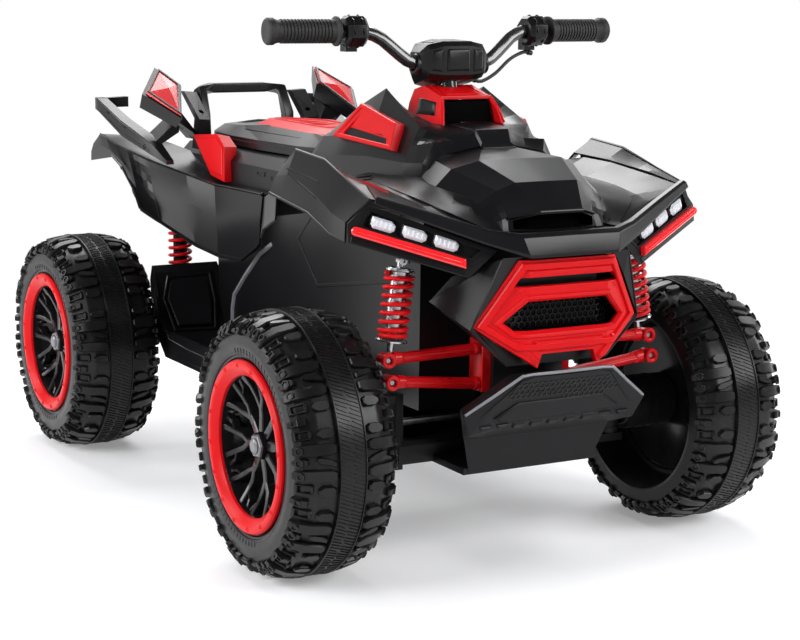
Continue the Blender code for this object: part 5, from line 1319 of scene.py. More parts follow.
def makeHubs():    # knuckles, swing arm and their drums, with grooves, fins and bolts
    for side, word in sides:
        knuckle = roundEdges(nodeCopy("knuckle_" + word), 0.0007, 2, 30)
        axle = Vector((side * 0.196, -0.36, 0.160))
        out = (side, 0, 0)
        parts = [knuckle, *drumTrim(axle, out)]
        for z in (-0.030, 0.0, 0.030):
            parts.append(hoop("band", z - 0.002, z + 0.002, 0.0150, 0.0164, 24,
                              (side * 0.175, -0.36, 0.160), (0, 0, 1)))
        settle(softShade(joined("knuckle", parts), 30), word + "Knuckle", "knuckle_" + word, "chassisBlack",
               "frame_steel", ["knuckle_" + word])
    arm = roundEdges(nodeCopy("rear_swing_arm"), 0.0007, 2, 30)
    parts = [arm]
    for side, _ in sides:
        parts += drumTrim(Vector((side * 0.193, 0.36, 0.160)), (side, 0, 0))
        for y in (0.165, 0.215, 0.265, 0.315):    # ribs along each side arm
            x = side * 0.0835
            parts.append(block("rib", (min(x, x + side * 0.0072), y - 0.002, 0.1505),
                               (max(x, x + side * 0.0072), y + 0.002, 0.1695)))
    settle(softShade(joined("swing", parts), 30), "RearSwingArm", "swing_arm", "chassisBlack", "frame_steel",
           ["rear_swing_arm"])
    print("hubs made")


def drumTrim(inner, out):    # raised rings and bolt heads on a hub drum's inner face and wall
    trims = []
    for along in (0.008, 0.024, 0.040):
        trims.append(hoop("ring", along, along + 0.004, 0.0332, 0.0350, 40, inner, out))
    trims.append(lathe("face",
                       [(-0.0035, 0.0215), (-0.0050, 0.0225), (-0.0050, 0.0275), (-0.0035, 0.0285), (0.001, 0.0285),
                        (0.001, 0.0215)], 40, inner, out, loop=True))
    side, up = axes(out)
    for k in range(5):
        angle = 2 * math.pi * k / 5 + 0.3
        spot = inner + (side * math.cos(angle) + up * math.sin(angle)) * 0.0250
        trims.append(capped(lathe("bolt", [(-0.0090, 0.0002), (-0.0090, 0.0028), (-0.0084, 0.0034), (-0.0040, 0.0034)],
                                  6, spot, out)))
    return trims


# Handlebar: faceted middle cover, pods with their switches, ribbed grips, and the cable
bar = {
    "start": (0.132, -0.2280, 0.638), "tip": (0.244, -0.2215, 0.638), "radius": 0.0085,
    "gripLength": 0.094, "gripRadius": 0.0145, "grooves": 15,
}


def barEnd(side):    # where a grip's tube starts and ends, and its direction
    start, tip = (Vector((side * x, y, z)) for x, y, z in (bar["start"], bar["tip"]))
    return start, tip, (tip - start).normalized()


def makeGrips():
    for side, word in sides:
        start, tip, out = barEnd(side)
        end = (tip - start).length
        near = end + 0.004 - bar["gripLength"]
        bore, full = bar["radius"] + 0.0004, bar["gripRadius"]
        profile = [(near, bore), (near, full + 0.0030), (near + 0.0008, full + 0.0040), (near + 0.0032, full + 0.0040),
                   (near + 0.0044, full + 0.0026), (near + 0.0060, full + 0.0002)]
        step = (end - 0.012 - near - 0.010) / bar["grooves"]
        for k in range(bar["grooves"]):
            a = near + 0.010 + k * step
            profile += [(a, full + 0.0004), (a + step * 0.55, full + 0.0004), (a + step * 0.64, full - 0.0009),
                        (a + step * 0.92, full - 0.0009)]
        profile += [(end - 0.0060, full + 0.0004), (end - 0.0030, full + 0.0022), (end + 0.0036, full + 0.0022),
                    (end + 0.0056, full + 0.0004), (end + 0.0062, full - 0.0030), (end + 0.0056, full - 0.0060),
                    (end + 0.0056, 0.0002), (end + 0.0004, 0.0002), (end + 0.0004, bore)]
        piece = softShade(lathe("grip", profile, 40, start, out, loop=True), 24)
        settle(piece, word + "Grip", "steering", "gripRubber", "grip_rubber", ["grip_" + word])
    print("grips made")


def makePods():
    for side, word in sides:
        start, tip, out = barEnd(side)
        parts = [roundEdges(nodeCopy("switch_pod_" + word), 0.0014, 3, 24)]
        for along in (-0.0060, 0.0062):    # clamp seams
            parts.append(hoop("seam", along, along + 0.0012, 0.0190, 0.0209, 8, start, out))
        back = Vector((0, 1, 0))
        parts.append(screw(start + Vector((0, 0.0140, 0.0162)), (0, 0.4, 1), 0.0028))
        settle(softShade(joined("pod", parts), 30), word + "Pod", "steering", "satinBlack", "body_plastic",
               ["switch_pod_" + word])
        rocker = [start + back * 0.0185 + out * a + Vector((0, 0, b)) for a, b in
                  ((-0.0050, -0.0052), (0.0050, -0.0052), (0.0050, 0.0052), (-0.0050, 0.0052))]
        finish = "redGloss" if side > 0 else "edgeGrey"
        settle(roundEdges(plate("rocker", rocker, back, 0.0032, 0.0012), 0.0005), word + "Rocker", "steering", finish,
               "red_plastic" if side > 0 else "body_plastic")
    print("pods made")


def makeBarCover():
    cover = roundEdges(nodeCopy("bar_cover"), 0.0016, 3, 14)
    parts = [cover]
    corners = [Vector((x, -0.2620, z)) for x, z in
               ((-0.0165, 0.589), (0.0165, 0.589), (0.0165, 0.6165), (-0.0165, 0.6165))]
    parts.append(roundEdges(plate("panel", corners, (0, -1, 0), 0.0022, 0.0026), 0.0004))
    for hand in (-1, 1):
        ring = [cast("bar_cover", (hand * x, -0.5, z), (0, 1, 0)) for x, z in
                ((0.0225, 0.588), (0.0375, 0.590), (0.0375, 0.6135), (0.0225, 0.6165))]
        parts.append(roundEdges(plate("panel", [spot for spot, _ in ring], ring[0][1], 0.0018, 0.0020), 0.0004))
    lid = [(-0.0300, -0.2480), (0.0300, -0.2480), (0.0340, -0.2240), (0.0180, -0.2170), (-0.0180, -0.2170),
           (-0.0340, -0.2240)]
    top = [cast("bar_cover", (x, y, 0.9), (0, 0, -1))[0] for x, y in lid]
    parts.append(roundEdges(plate("lid", top, (0, 0, 1), 0.0016, 0.0020), 0.0005))
    for hand in (-1, 1):    # collars where the bar leaves the cover
        spot = Vector((hand * 0.0500, -0.2385, 0.5970))
        parts.append(lathe("collar",
                           [(-0.003, 0.0092), (-0.003, 0.0135), (0.0008, 0.0135), (0.0022, 0.0120), (0.0022, 0.0092)],
                           28, spot, (hand, 0, 0.12), loop=True))
    settle(softShade(joined("cover", parts), 25), "BarCover", "steering", "satinBlack", "body_plastic", ["bar_cover"])
    ring = lathe("ring", [(0.0002, 0.0098), (0.0002, 0.0122), (0.0014, 0.0130), (0.0024, 0.0122), (0.0024, 0.0098)], 36,
                 (0, -0.2082, 0.608), (0, 1, 0), loop=True)
    settle(softShade(ring, 25), "ButtonRing", "steering", "edgeGrey", "body_plastic")
    post = []
    for hand in (-1, 1):    # struts between the cowl and the cover, beside the column
        post.append(sweep("strut", [(hand * 0.0170, -0.2360, 0.5760), (hand * 0.0170, -0.2330, 0.5870)], 0.0042, 12))
    settle(roundEdges(joined("struts", post), 0.0004), "CoverStruts", "steering", "barBlack", "bar_steel")
    print("bar cover made")


cableRoute = [
    (0.1380, -0.2145, 0.6087), (0.1290, -0.2150, 0.6100), (0.1150, -0.2165, 0.6060), (0.1016, -0.2180, 0.5990),
    (0.0807, -0.2195, 0.5826), (0.0600, -0.2200, 0.5730), (0.0470, -0.2200, 0.5755),
]


def makeCable():
    line = smoothLine(cableRoute, 0.004)
    cable = softShade(sweep("cable", line, 0.0024, 16), 60)
    settle(cable, "ThrottleCable", "steering", "cableBlack", "cable_rubber", ["throttle_cable"])
    ferrules = []
    for a, b in ((line[0], line[2]), (line[-1], line[-3])):
        way = (b - a).normalized()
        ferrules.append(capped(lathe("ferrule", [(-0.002, 0.0034), (0.0040, 0.0034), (0.0050, 0.0028)], 16, a, way)))
    settle(softShade(joined("ferrules", ferrules), 25), "CableFerrules", "steering", "rimBlack", "body_plastic")


# Body skins from rows of points: smooth between the rows, so that only the true creases show
def patchwork(name, quads, cuts=4):
    bm = bmesh.new()
    for a, b, c, d in quads:
        a, b, c, d = (Vector(p) for p in (a, b, c, d))
        grid = [[bm.verts.new(a.lerp(b, i / cuts).lerp(d.lerp(c, i / cuts), j / cuts)) for i in range(cuts + 1)]
                for j in range(cuts + 1)]
        for low, high in zip(grid, grid[1:]):
            for i in range(cuts):
                bm.faces.new((low[i], low[i + 1], high[i + 1], high[i]))
    bmesh.ops.remove_doubles(bm, verts=bm.verts, dist=2e-6)
    bmesh.ops.dissolve_degenerate(bm, edges=bm.edges, dist=1e-6)
    bmesh.ops.recalc_face_normals(bm, faces=bm.faces)
    mesh = bpy.data.meshes.new(name)
    bm.to_mesh(mesh)
    bm.free()
    return link(bpy.data.objects.new(name, mesh))


def rowQuads(rows):    # the four-cornered fields between rows that may have gaps
    quads = []
    for row, after in zip(rows, rows[1:]):
        for i in range(len(row) - 1):
            corners = (row[i], row[i + 1], after[i + 1], after[i])
            if all(p is not None for p in corners):
                quads.append(corners)
    return quads


def skin(name, quads, thick, outward, edge=0.0012, angle=13, cuts=4):    # closed skin with rounded creases
    obj = patchwork(name, quads, cuts)
    total = sum((p.normal * p.area for p in obj.data.polygons), Vector())
    if total.dot(Vector(outward)) < 0:
        obj.data.flip_normals()
    wall = obj.modifiers.new("wall", "SOLIDIFY")
    wall.thickness = thick
    wall.offset = -1
    wall.use_even_offset = False
    bakeModifiers(obj)
    return roundEdges(obj, edge, 3, angle)


def wholeRow(half):    # a half section and its mirror image
    return [None if p is None else (-p[0], p[1], p[2]) for p in reversed(half[1:])] + list(half)


# Raised patch between two pixel lines
def laid(node, near, far, lift=0.0014, sink=0.0016, steps=5, across=3, edge=0.0006):
    rows = []
    lines = []
    for pixels in (near, far):
        line = []
        for a, b in zip(pixels, pixels[1:]):
            line += [(a[0] + (b[0] - a[0]) * k / steps, a[1] + (b[1] - a[1]) * k / steps) for k in range(steps)]
        lines.append([*line, pixels[-1]])
    for a, b in zip(*lines):
        rows.append([seen(node, (a[0] + (b[0] - a[0]) * k / across, a[1] + (b[1] - a[1]) * k / across))
                     for k in range(across + 1)])
    return slab(rows, lift, sink, edge)


def slab(rows, lift, sink, edge):    # closed patch over a grid of (point, normal) pairs
    bm = bmesh.new()
    layers = []
    for rise in (-sink, lift):
        layers.append([[bm.verts.new(spot + normal * rise) for spot, normal in row] for row in rows])
    low, high = layers
    for layer, turned in ((low, True), (high, False)):
        for a, b in zip(layer, layer[1:]):
            for i in range(len(a) - 1):
                corners = (a[i], a[i + 1], b[i + 1], b[i])
                bm.faces.new(corners[::-1] if turned else corners)
    rim = [(j, 0) for j in range(len(rows))] + [(len(rows) - 1, i) for i in range(1, len(rows[0]))]
    rim += [(j, len(rows[0]) - 1) for j in range(len(rows) - 2, -1, -1)] + [
        (0, i) for i in range(len(rows[0]) - 2, 0, -1)]
    for (a, b), (c, d) in zip(rim, [*rim[1:], rim[0]]):
        bm.faces.new((low[a][b], low[c][d], high[c][d], high[a][b]))
    return roundEdges(shell("slab", bm), edge, 2, 40)


hoodRows = [
    [None, None, None, (0.0980, -0.215, 0.461), (0.150, -0.213, 0.452), (0.1885, -0.210, 0.464)],
    [None, None, None, (0.0980, -0.275, 0.462), (0.150, -0.272, 0.455), (0.1900, -0.270, 0.474)],
    [(0, -0.35, 0.502), (0.017, -0.35, 0.502), (0.083, -0.344, 0.487), (0.098, -0.343, 0.466), (0.150, -0.335, 0.455),
     (0.1920, -0.330, 0.472)],
    [(0, -0.411, 0.4915), (0.0588, -0.411, 0.4908), (0.088, -0.395, 0.480), (0.108, -0.390, 0.458),
     (0.155, -0.390, 0.451), (0.2010, -0.400, 0.4625)],
    [(0, -0.470, 0.470), (0.0433, -0.468, 0.4694), (0.065, -0.4624, 0.4602), (0.095, -0.452, 0.439),
     (0.152, -0.440, 0.444), (0.2135, -0.4445, 0.4535)],
    [(0, -0.5013, 0.438), (0.0300, -0.5013, 0.438), (0.060, -0.479, 0.430), (0.092, -0.480, 0.422),
     (0.155, -0.462, 0.438), (0.2150, -0.4475, 0.4538)],
    [(0, -0.4995, 0.4135), (0.0310, -0.4995, 0.4135), (0.062, -0.4845, 0.4145), (0.094, -0.490, 0.4165),
     (0.157, -0.4685, 0.4355), (0.2175, -0.4490, 0.4542)],
    [(0, -0.519, 0.413), (0.035, -0.519, 0.413), (0.0693, -0.516, 0.413), (0.100, -0.500, 0.4145),
     (0.160, -0.474, 0.4335), (0.2200, -0.4500, 0.4540)],
    [(0, -0.5324, 0.391), (0.030, -0.5324, 0.391), (0.0607, -0.5324, 0.391), (0.105, -0.510, 0.4060),
     (0.164, -0.480, 0.4290), (0.2222, -0.4510, 0.4525)],
]
# The lip and the band beside the lamps: lower front, upper front and upper back edge at each station
lipStations = [
    ((0.0000, -0.5334, 0.3890), (0.0000, -0.5262, 0.4166), (0.0000, -0.5170, 0.4178)),
    ((0.0607, -0.5334, 0.3890), (0.0680, -0.5236, 0.4160), (0.0660, -0.5140, 0.4172)),
    ((0.1050, -0.5118, 0.4040), (0.1020, -0.5060, 0.4206), (0.0985, -0.4970, 0.4210)),
    ((0.1640, -0.4820, 0.4270), (0.1600, -0.4780, 0.4400), (0.1560, -0.4690, 0.4400)),
    ((0.2222, -0.4530, 0.4508), (0.2190, -0.4510, 0.4590), (0.2150, -0.4440, 0.4596)),
]
hoodBands = [    # near and far pixel lines of the raised bands on the hood's right half
             ([(372, 181), (420, 201), (470, 223), (508, 240)], [(384, 168), (428, 184), (472, 200), (498, 224)]), ]


def makeHood():
    whole = [wholeRow(row) for row in hoodRows]
    hood = skin("hood", rowQuads(whole), 0.0026, (0, -0.3, 1), 0.0013, 6)
    opening = []
    for x, y, top in ((-0.0560, -0.4632, 0.4268), (-0.0300, -0.4790, 0.4350), (0.0300, -0.4790, 0.4350),
                      (0.0560, -0.4632, 0.4268)):
        opening.append([(x, -0.530, 0.4168), (x, -0.530, top), (x, y, top), (x, y, 0.4168)])
    parts = [cut(hood, loft("opening", opening))]
    for near, far in hoodBands:
        parts += both([laid("hood", near, far, 0.0016)])
    recess = [(0.171, -0.240), (0.160, -0.262), (0.130, -0.272), (0.116, -0.249), (0.135, -0.236)]
    loop = []
    for (ax, ay), (bx, by) in zip(recess, [*recess[1:], recess[0]]):
        loop += [cast("hood", (ax + (bx - ax) * k / 3, ay + (by - ay) * k / 3, 0.8), (0, 0, -1)) for k in range(3)]
    parts += both([bead("outline", [*loop, loop[0]], 0.0024, 0.0013, 0.0012)])
    brow = [(0.0, -0.5030, 0.4380), (0.0300, -0.5030, 0.4380), (0.0600, -0.4806, 0.4300)]
    path = [Vector((-x, y, z)) for x, y, z in reversed(brow[1:])] + [Vector(p) for p in brow]
    parts.append(sweep("brow", path, 0.0020, 10))
    settle(crisp(joined("hood", parts), 24), "Hood", *blackShell, ["hood"])
    stations = [[Vector((-p[0], p[1], p[2])) for p in station] for station in reversed(lipStations[1:])]
    stations += [[Vector(p) for p in station] for station in lipStations]
    rings = []
    for low, high, back in stations:
        foot = back + Vector((0, 0.0010, -0.0120))
        rings.append([low, low.lerp(high, 0.18) + (high - back) * 0.14, low.lerp(high, 0.86) + (high - back) * 0.10,
                      high.lerp(back, 0.25) + Vector((0, 0, 0.0006)), back, foot, low + Vector((0, 0.0060, 0.0012))])
    settle(roundEdges(loft("lip", rings), 0.0009, 3, 18), "NoseLip", *blackShell)
    # near-black liner and tray in the intake mouth: painted shade inside the opening
    shadeLiner = []
    for x, y, top in ((-0.0580, -0.4812, 0.4282), (-0.0310, -0.4972, 0.4364), (0.0310, -0.4972, 0.4364),
                      (0.0580, -0.4812, 0.4282)):
        shadeLiner.append([(x, y, 0.4150), (x, y, top), (x, y + 0.022, top), (x, y + 0.022, 0.4150)])
    mouthPiece = cut(loft("mouth", shadeLiner), loft("opening", opening))
    floor = [(-0.0650, -0.5165), (0.0650, -0.5165), (0.0600, -0.4870), (0.0300, -0.5000), (-0.0300, -0.5000),
             (-0.0600, -0.4870)]
    tray = plate("tray", [Vector((x, y, 0.4142)) for x, y in floor], (0, 0, 1), 0.0012, 0.0010)
    settle(joined("mouth", [mouthPiece, tray]), "IntakeMouthShade", "chassis", "shadeBlack", "body_plastic")
    line = [cast("hood", (x, y, 0.8), (0, 0, -1)) for x, y in
            ((0.1850, -0.350), (0.1812, -0.362), (0.1775, -0.375), (0.1745, -0.390), (0.1715, -0.394))]
    lines = [bead("redLine", line, 0.0026, 0.0014)]
    settle(swapped(joined("redLine", lines)), "HoodRedLine", *redShell)
    print("hood made")


fenderRows = [
    [(0.1905, -0.205, 0.446), (0.222, -0.217, 0.4775), (0.23, -0.209, 0.46), (0.237, -0.203, 0.438)],
    [(0.191, -0.245, 0.478), (0.22, -0.245, 0.496), (0.232, -0.244, 0.465), (0.2385, -0.24, 0.434)],
    [(0.194, -0.318, 0.475), (0.218, -0.32, 0.49), (0.236, -0.321, 0.453), (0.243, -0.322, 0.4265)],
    [(0.203, -0.395, 0.466), (0.2205, -0.39, 0.4695), (0.242, -0.385, 0.434), (0.2455, -0.385, 0.409)],
    [(0.216, -0.443, 0.4545), (0.2235, -0.4416, 0.456), (0.246, -0.4266, 0.4285), (0.2475, -0.4276, 0.405)],
]
rearRows = [
    [(0.0980, 0.060, 0.4040), (0.1200, 0.067, 0.4030), (0.1200, 0.076, 0.3650), (0.1180, 0.084, 0.3260)],
    [(0.0980, 0.150, 0.4030), (0.1230, 0.150, 0.4025), (0.1240, 0.145, 0.3600), (0.1200, 0.135, 0.2990)],
    [(0.0980, 0.222, 0.4020), (0.1260, 0.222, 0.4020), (0.1280, 0.212, 0.3560), (0.1280, 0.205, 0.2960)],
    [(0.0980, 0.290, 0.4110), (0.1450, 0.283, 0.4125), (0.1480, 0.262, 0.3700), (0.1480, 0.243, 0.3080)],
    [(0.0940, 0.368, 0.4360), (0.1780, 0.353, 0.4290), (0.1770, 0.335, 0.3800), (0.1740, 0.315, 0.3350)],
    [(0.1120, 0.410, 0.4460), (0.1930, 0.400, 0.4400), (0.1980, 0.362, 0.4040), (0.2000, 0.331, 0.3560)],
    [(0.1180, 0.445, 0.4500), (0.1980, 0.440, 0.4480), (0.2020, 0.400, 0.4230), (0.2020, 0.352, 0.3820)],
    [(0.1250, 0.475, 0.4530), (0.2000, 0.475, 0.4560), (0.2020, 0.450, 0.4360), (0.2020, 0.400, 0.4120)],
    [(0.1300, 0.500, 0.4530), (0.2000, 0.500, 0.4580), (0.2020, 0.490, 0.4400), (0.2020, 0.445, 0.4260)],
    [(0.1500, 0.530, 0.4370), (0.2000, 0.532, 0.4400), (0.2020, 0.537, 0.4270), (0.2020, 0.538, 0.4130)],
]
tankRows = [
    [(0, -0.356, 0.5035), (0.0166, -0.356, 0.5035), (0.046, -0.3515, 0.498), (0.0735, -0.349, 0.493),
     (0.0910, -0.3470, 0.4780), (0.1000, -0.3460, 0.3600), (0.1000, -0.3460, 0.1760)],
    [(0, -0.3453, 0.5195), (0.0217, -0.3453, 0.5195), (0.052, -0.336, 0.5085), (0.08, -0.34, 0.507),
     (0.0945, -0.3380, 0.4820), (0.1005, -0.3380, 0.3600), (0.1000, -0.3380, 0.1760)],
    [(0, -0.303, 0.524), (0.04, -0.303, 0.5235), (0.079, -0.303, 0.5235), (0.091, -0.303, 0.501),
     (0.1010, -0.3030, 0.4800), (0.1030, -0.3030, 0.3600), (0.1000, -0.3030, 0.1760)],
    [(0, -0.205, 0.527), (0.045, -0.205, 0.529), (0.0725, -0.205, 0.5655), (0.096, -0.205, 0.502),
     (0.1020, -0.2050, 0.4800), (0.1040, -0.2050, 0.3600), (0.1000, -0.2050, 0.1740)],
    [(0, -0.13, 0.515), (0.045, -0.13, 0.52), (0.0715, -0.13, 0.538), (0.092, -0.13, 0.5), (0.1030, -0.1300, 0.4750),
     (0.1040, -0.1300, 0.3600), (0.1000, -0.1300, 0.1720)],
    [(0, -0.050, 0.496), (0.04, -0.050, 0.498), (0.066, -0.050, 0.503), (0.084, -0.050, 0.493),
     (0.1000, -0.050, 0.4620), (0.1040, -0.050, 0.3600), (0.1000, -0.050, 0.1720)],
]
deckStations = ((0.002, 0.36, 0.172), (0.262, 0.37, 0.172), (0.27, 0.38, 0.352), (0.408, 0.4, 0.352))


def makeBody():
    rows = [*tankRows]
    top = 0.4550
    for y, middle, bottom in deckStations:
        rows.append([(0, y, top), (0.04, y, top - 0.0003), (0.07, y, top - 0.001), (0.086, y, top - 0.004),
                     (0.1000, y, 0.436), (0.1045, y, middle), (0.1000, y, bottom)])
    whole = [wholeRow(row) for row in rows]
    quads = rowQuads(whole)
    for row in (whole[0], whole[-1]):    # front and rear walls
        for i in range(6):
            quads.append((row[i], row[i + 1], row[11 - i], row[12 - i]))
    body = skin("body", quads, 0.0026, (0, 0, 1), 0.0014, 7)
    body = cut(body, capped(lathe("way", [(0.0, 0.0002), (0.0, 0.0175), (0.090, 0.0175), (0.090, 0.0002)], 24,
                                  (0, -0.2597, 0.470), (0, 0.244, 0.970))))
    parts = [body]
    for hand in (-1, 1):
        panel = [cast("main_body", (hand * 0.4, y, z), (-hand, 0, 0)) for y, z in
                 ((-0.3000, 0.4200), (-0.0700, 0.4050), (-0.0100, 0.3500), (-0.0700, 0.2900), (-0.3000, 0.3300))]
        corners = [spot for spot, _ in panel]
        parts.append(roundEdges(framed("sidePanel", corners, (hand, 0, 0), 0.0050, -0.0030, 0.0012, 0.0006), 0.0003))
        for y, z in ((0.0780, 0.4240), (-0.3200, 0.3600), (-0.3200, 0.2400), (0.0300, 0.2200)):
            spot, way = cast("main_body", (hand * 0.4, y, z), (-hand, 0, 0))
            parts.append(screw(spot, way, 0.0034))
        slot = [cast("main_body", (hand * 0.4, y, z), (-hand, 0, 0))[0] for y, z in
                ((0.1000, 0.4310), (0.1260, 0.4310), (0.1260, 0.4240), (0.1000, 0.4240))]
        parts.append(roundEdges(framed("slot", slot, (hand, 0, 0), 0.0018, -0.0020, 0.0010, 0.0004), 0.0002))
    # grey bead along the body's side edge: a painted highlight where the edge catches the light
    strip = bead("strip", traced("main_body", bodyHighlightLine), 0.0085, 0.0030, 0.0012)
    settle(joined("strips", both([roundEdges(strip, 0.0005)])), "BodyEdgeHighlight", "chassis", "edgeGrey", "body_plastic")
    for k in range(3):    # chevrons between the tank and the seat
        y = -0.108 + k * 0.020
        spots = [cast("main_body", (x, y + abs(x) * 0.55, 0.8), (0, 0, -1)) for x in (-0.030, -0.015, 0, 0.015, 0.030)]
        parts.append(bead("chevron", spots, 0.0060, 0.0016, 0.0012))
    settle(crisp(joined("body", parts), 24), "MainBody", *blackShell, ["main_body"])
    print("body made")


cowl = {
    "rim": [(0.046, -0.3025, 0.526), (0.0413, -0.2930, 0.5437), (0.0356, -0.2835, 0.5575)],
    "shadeLiner": [(-0.2830, 0.0330, 0.5520), (-0.2700, 0.0335, 0.5535)], "shadeLinerFoot": 0.5262,    # y, half width, top
    "tongue": [(-0.2950, 0.0300, 0.5262), (-0.3300, 0.0262, 0.5232), (-0.3450, 0.0232, 0.5216),
               (-0.3562, 0.0205, 0.5066), (-0.3640, 0.0240, 0.5010)],    # y, half width, top
}


def makeCowl():
    parts = [roundEdges(nodeCopy("steering_cowl"), 0.0010, 3, 20)]
    line = cowl["rim"]    # raised, round the mouth
    path = [Vector((-x, a, z)) for x, a, z in line] + [Vector(p) for p in reversed(line)]
    spots = []
    for k, p in enumerate(path):
        steep = k in (0, 1, 4, 5)
        normal = (Vector((math.copysign(1, p.x), 0, 0)) * (1.0 if steep else 0.5) + Vector((0, -0.25, 0.97)) *
                  (0.15 if steep else 1)).normalized()
        spots.append((p + Vector((0, 0.0022, 0)) + normal * 0.0002, normal))
    parts.append(bead("rim", spots, 0.0050, 0.0016, 0.0012))
    for hand in (-1, 1):    # raised side panes and the roof's creases
        grid = []
        for k in range(6):
            low, high = (-0.279 + 0.009 * k, 0.5345), (-0.274 + 0.008 * k, 0.5510 + 0.0007 * k)
            grid.append([cast("steering_cowl",
                              (hand * 0.2, low[0] + (high[0] - low[0]) * t, low[1] + (high[1] - low[1]) * t),
                              (-hand, 0, 0)) for t in (0, 0.33, 0.67, 1)])
        settle(softShade(slab(grid, 0.0008, 0.0016, 0.0006), 30), ("left" if hand > 0 else "right") + "CowlPane",
               *blackShell)
        crease = [cast("steering_cowl", (hand * x, y, 0.8), (0, 0, -1)) for x, y in
                  ((0.0300, -0.218), (0.0262, -0.238), (0.0300, -0.276))]
        parts.append(bead("crease", crease, 0.0026, 0.0009))
    middle = [cast("steering_cowl", (x, y, 0.8), (0, 0, -1))[0] for x, y in
              ((-0.0205, -0.2465), (0.0205, -0.2465), (0.0235, -0.2740), (-0.0235, -0.2740))]
    normal = cast("steering_cowl", (0, -0.260, 0.8), (0, 0, -1))[1]
    parts.append(roundEdges(plate("panel", middle, normal, 0.0014, 0.0018), 0.0003))
    # near-black liner behind the cowl's mouth: painted shade inside the opening
    shadeLiner = []
    foot = cowl["shadeLinerFoot"]
    for y, wide, high in cowl["shadeLiner"]:
        shadeLiner.append([(-wide - 0.0050, y, foot), (wide + 0.0050, y, foot), (wide, y, high), (-wide, y, high)])
    settle(roundEdges(loft("shadeLiner", shadeLiner), 0.0004), "CowlShadeLiner", "chassis", "shadeBlack", "body_plastic")
    tongue = []    # dark floor in front of the cowl with its step
    for y, half, z in cowl["tongue"]:
        tongue.append([(-half - 0.0025, y, z - 0.0060), (-half, y, z), (half, y, z), (half + 0.0025, y, z - 0.0060)])
    settle(roundEdges(loft("tongue", tongue), 0.0009), "CowlTongue", *blackShell)
    settle(crisp(joined("cowl", parts), 30), "SteeringCowl", *redShell, ["steering_cowl"])
    print("cowl made")


def makeVents():
    outer = [Vector(p) for p in ((0.1005, -0.110, 0.4985), (0.0890, -0.170, 0.5450), (0.0950, -0.272, 0.5270),
                                 (0.1070, -0.281, 0.4935))]
    normal = (outer[2] - outer[0]).cross(outer[3] - outer[1]).normalized()
    normal = normal if normal.x > 0 else -normal
    for side, word in sides:
        vent = nodeCopy("tank_vent_left")
        spread_ = [p - normal * 0.0002 for p in outer]
        frame_ = framed("frame", spread_, normal, 0.0062, -0.0040, 0.0018, 0.0012)
        vent = joined("vent", [roundEdges(vent, 0.0006), roundEdges(frame_, 0.0003)])
        middle = sum(outer, Vector()) / 4
        # a darker plate low in the vent stands for its dark opening: painted shade
        floor = [middle + (p - middle) * 0.80 - normal * 0.0034 for p in outer]
        shadePlate = roundEdges(plate("floor", floor, normal, 0.0006, 0.0008, 0.0012), 0.0002)
        shelf = [floor[0].lerp(floor[1], 0.34), floor[1], floor[2], floor[3].lerp(floor[2], 0.34)]
        wall = loft("wall", [[p + normal * 0.0002 for p in shelf],
                             [shelf[0] + normal * 0.0008, shelf[1] + normal * 0.0040, shelf[2] + normal * 0.0040,
                              shelf[3] + normal * 0.0008]])
        ridge = bead("ridge", [(shelf[0].lerp(shelf[3], t) + normal * 0.0008, normal) for t in (0.02, 0.5, 0.98)],
                     0.0030, 0.0018)
        vent = joined("vent", [vent, roundEdges(wall, 0.0005), ridge])
        vent, shadePlate = onSide(vent, side), onSide(shadePlate, side)
        settle(crisp(vent, 30), word + "TankVent", *redShell, ["tank_vent_" + word])
        settle(softShade(shadePlate, 30), word + "VentShadeFloor", *recessShadeShell)
    print("vents made")


# Front fenders: the crest's slot in strips of painted shade, the outer facet, edge beads, and the flap with its ribs
fender = {
    "crest": [(0.2220, -0.217, 0.4775), (0.2200, -0.245, 0.4960), (0.2180, -0.320, 0.4900), (0.2205, -0.390, 0.4695),
              (0.2235, -0.4416, 0.4560)],
    "low": [(0.2370, -0.203, 0.4380), (0.2385, -0.240, 0.4340), (0.2430, -0.322, 0.4265), (0.2455, -0.385, 0.4090),
            (0.2475, -0.4276, 0.4050)],
}


def outerLine(node, points):    # points of a left piece's outer face, from straight beside it
    return [cast(node, (0.5, y, z), (-1, 0, 0)) for y, z in points]


# pixel lines of the crest's slot, laid as thin darker strips: painted shade
fenderSlotShade = [[(285, 167.5), (303, 175), (321, 184)], [(288, 172), (300, 184), (316, 198)]]


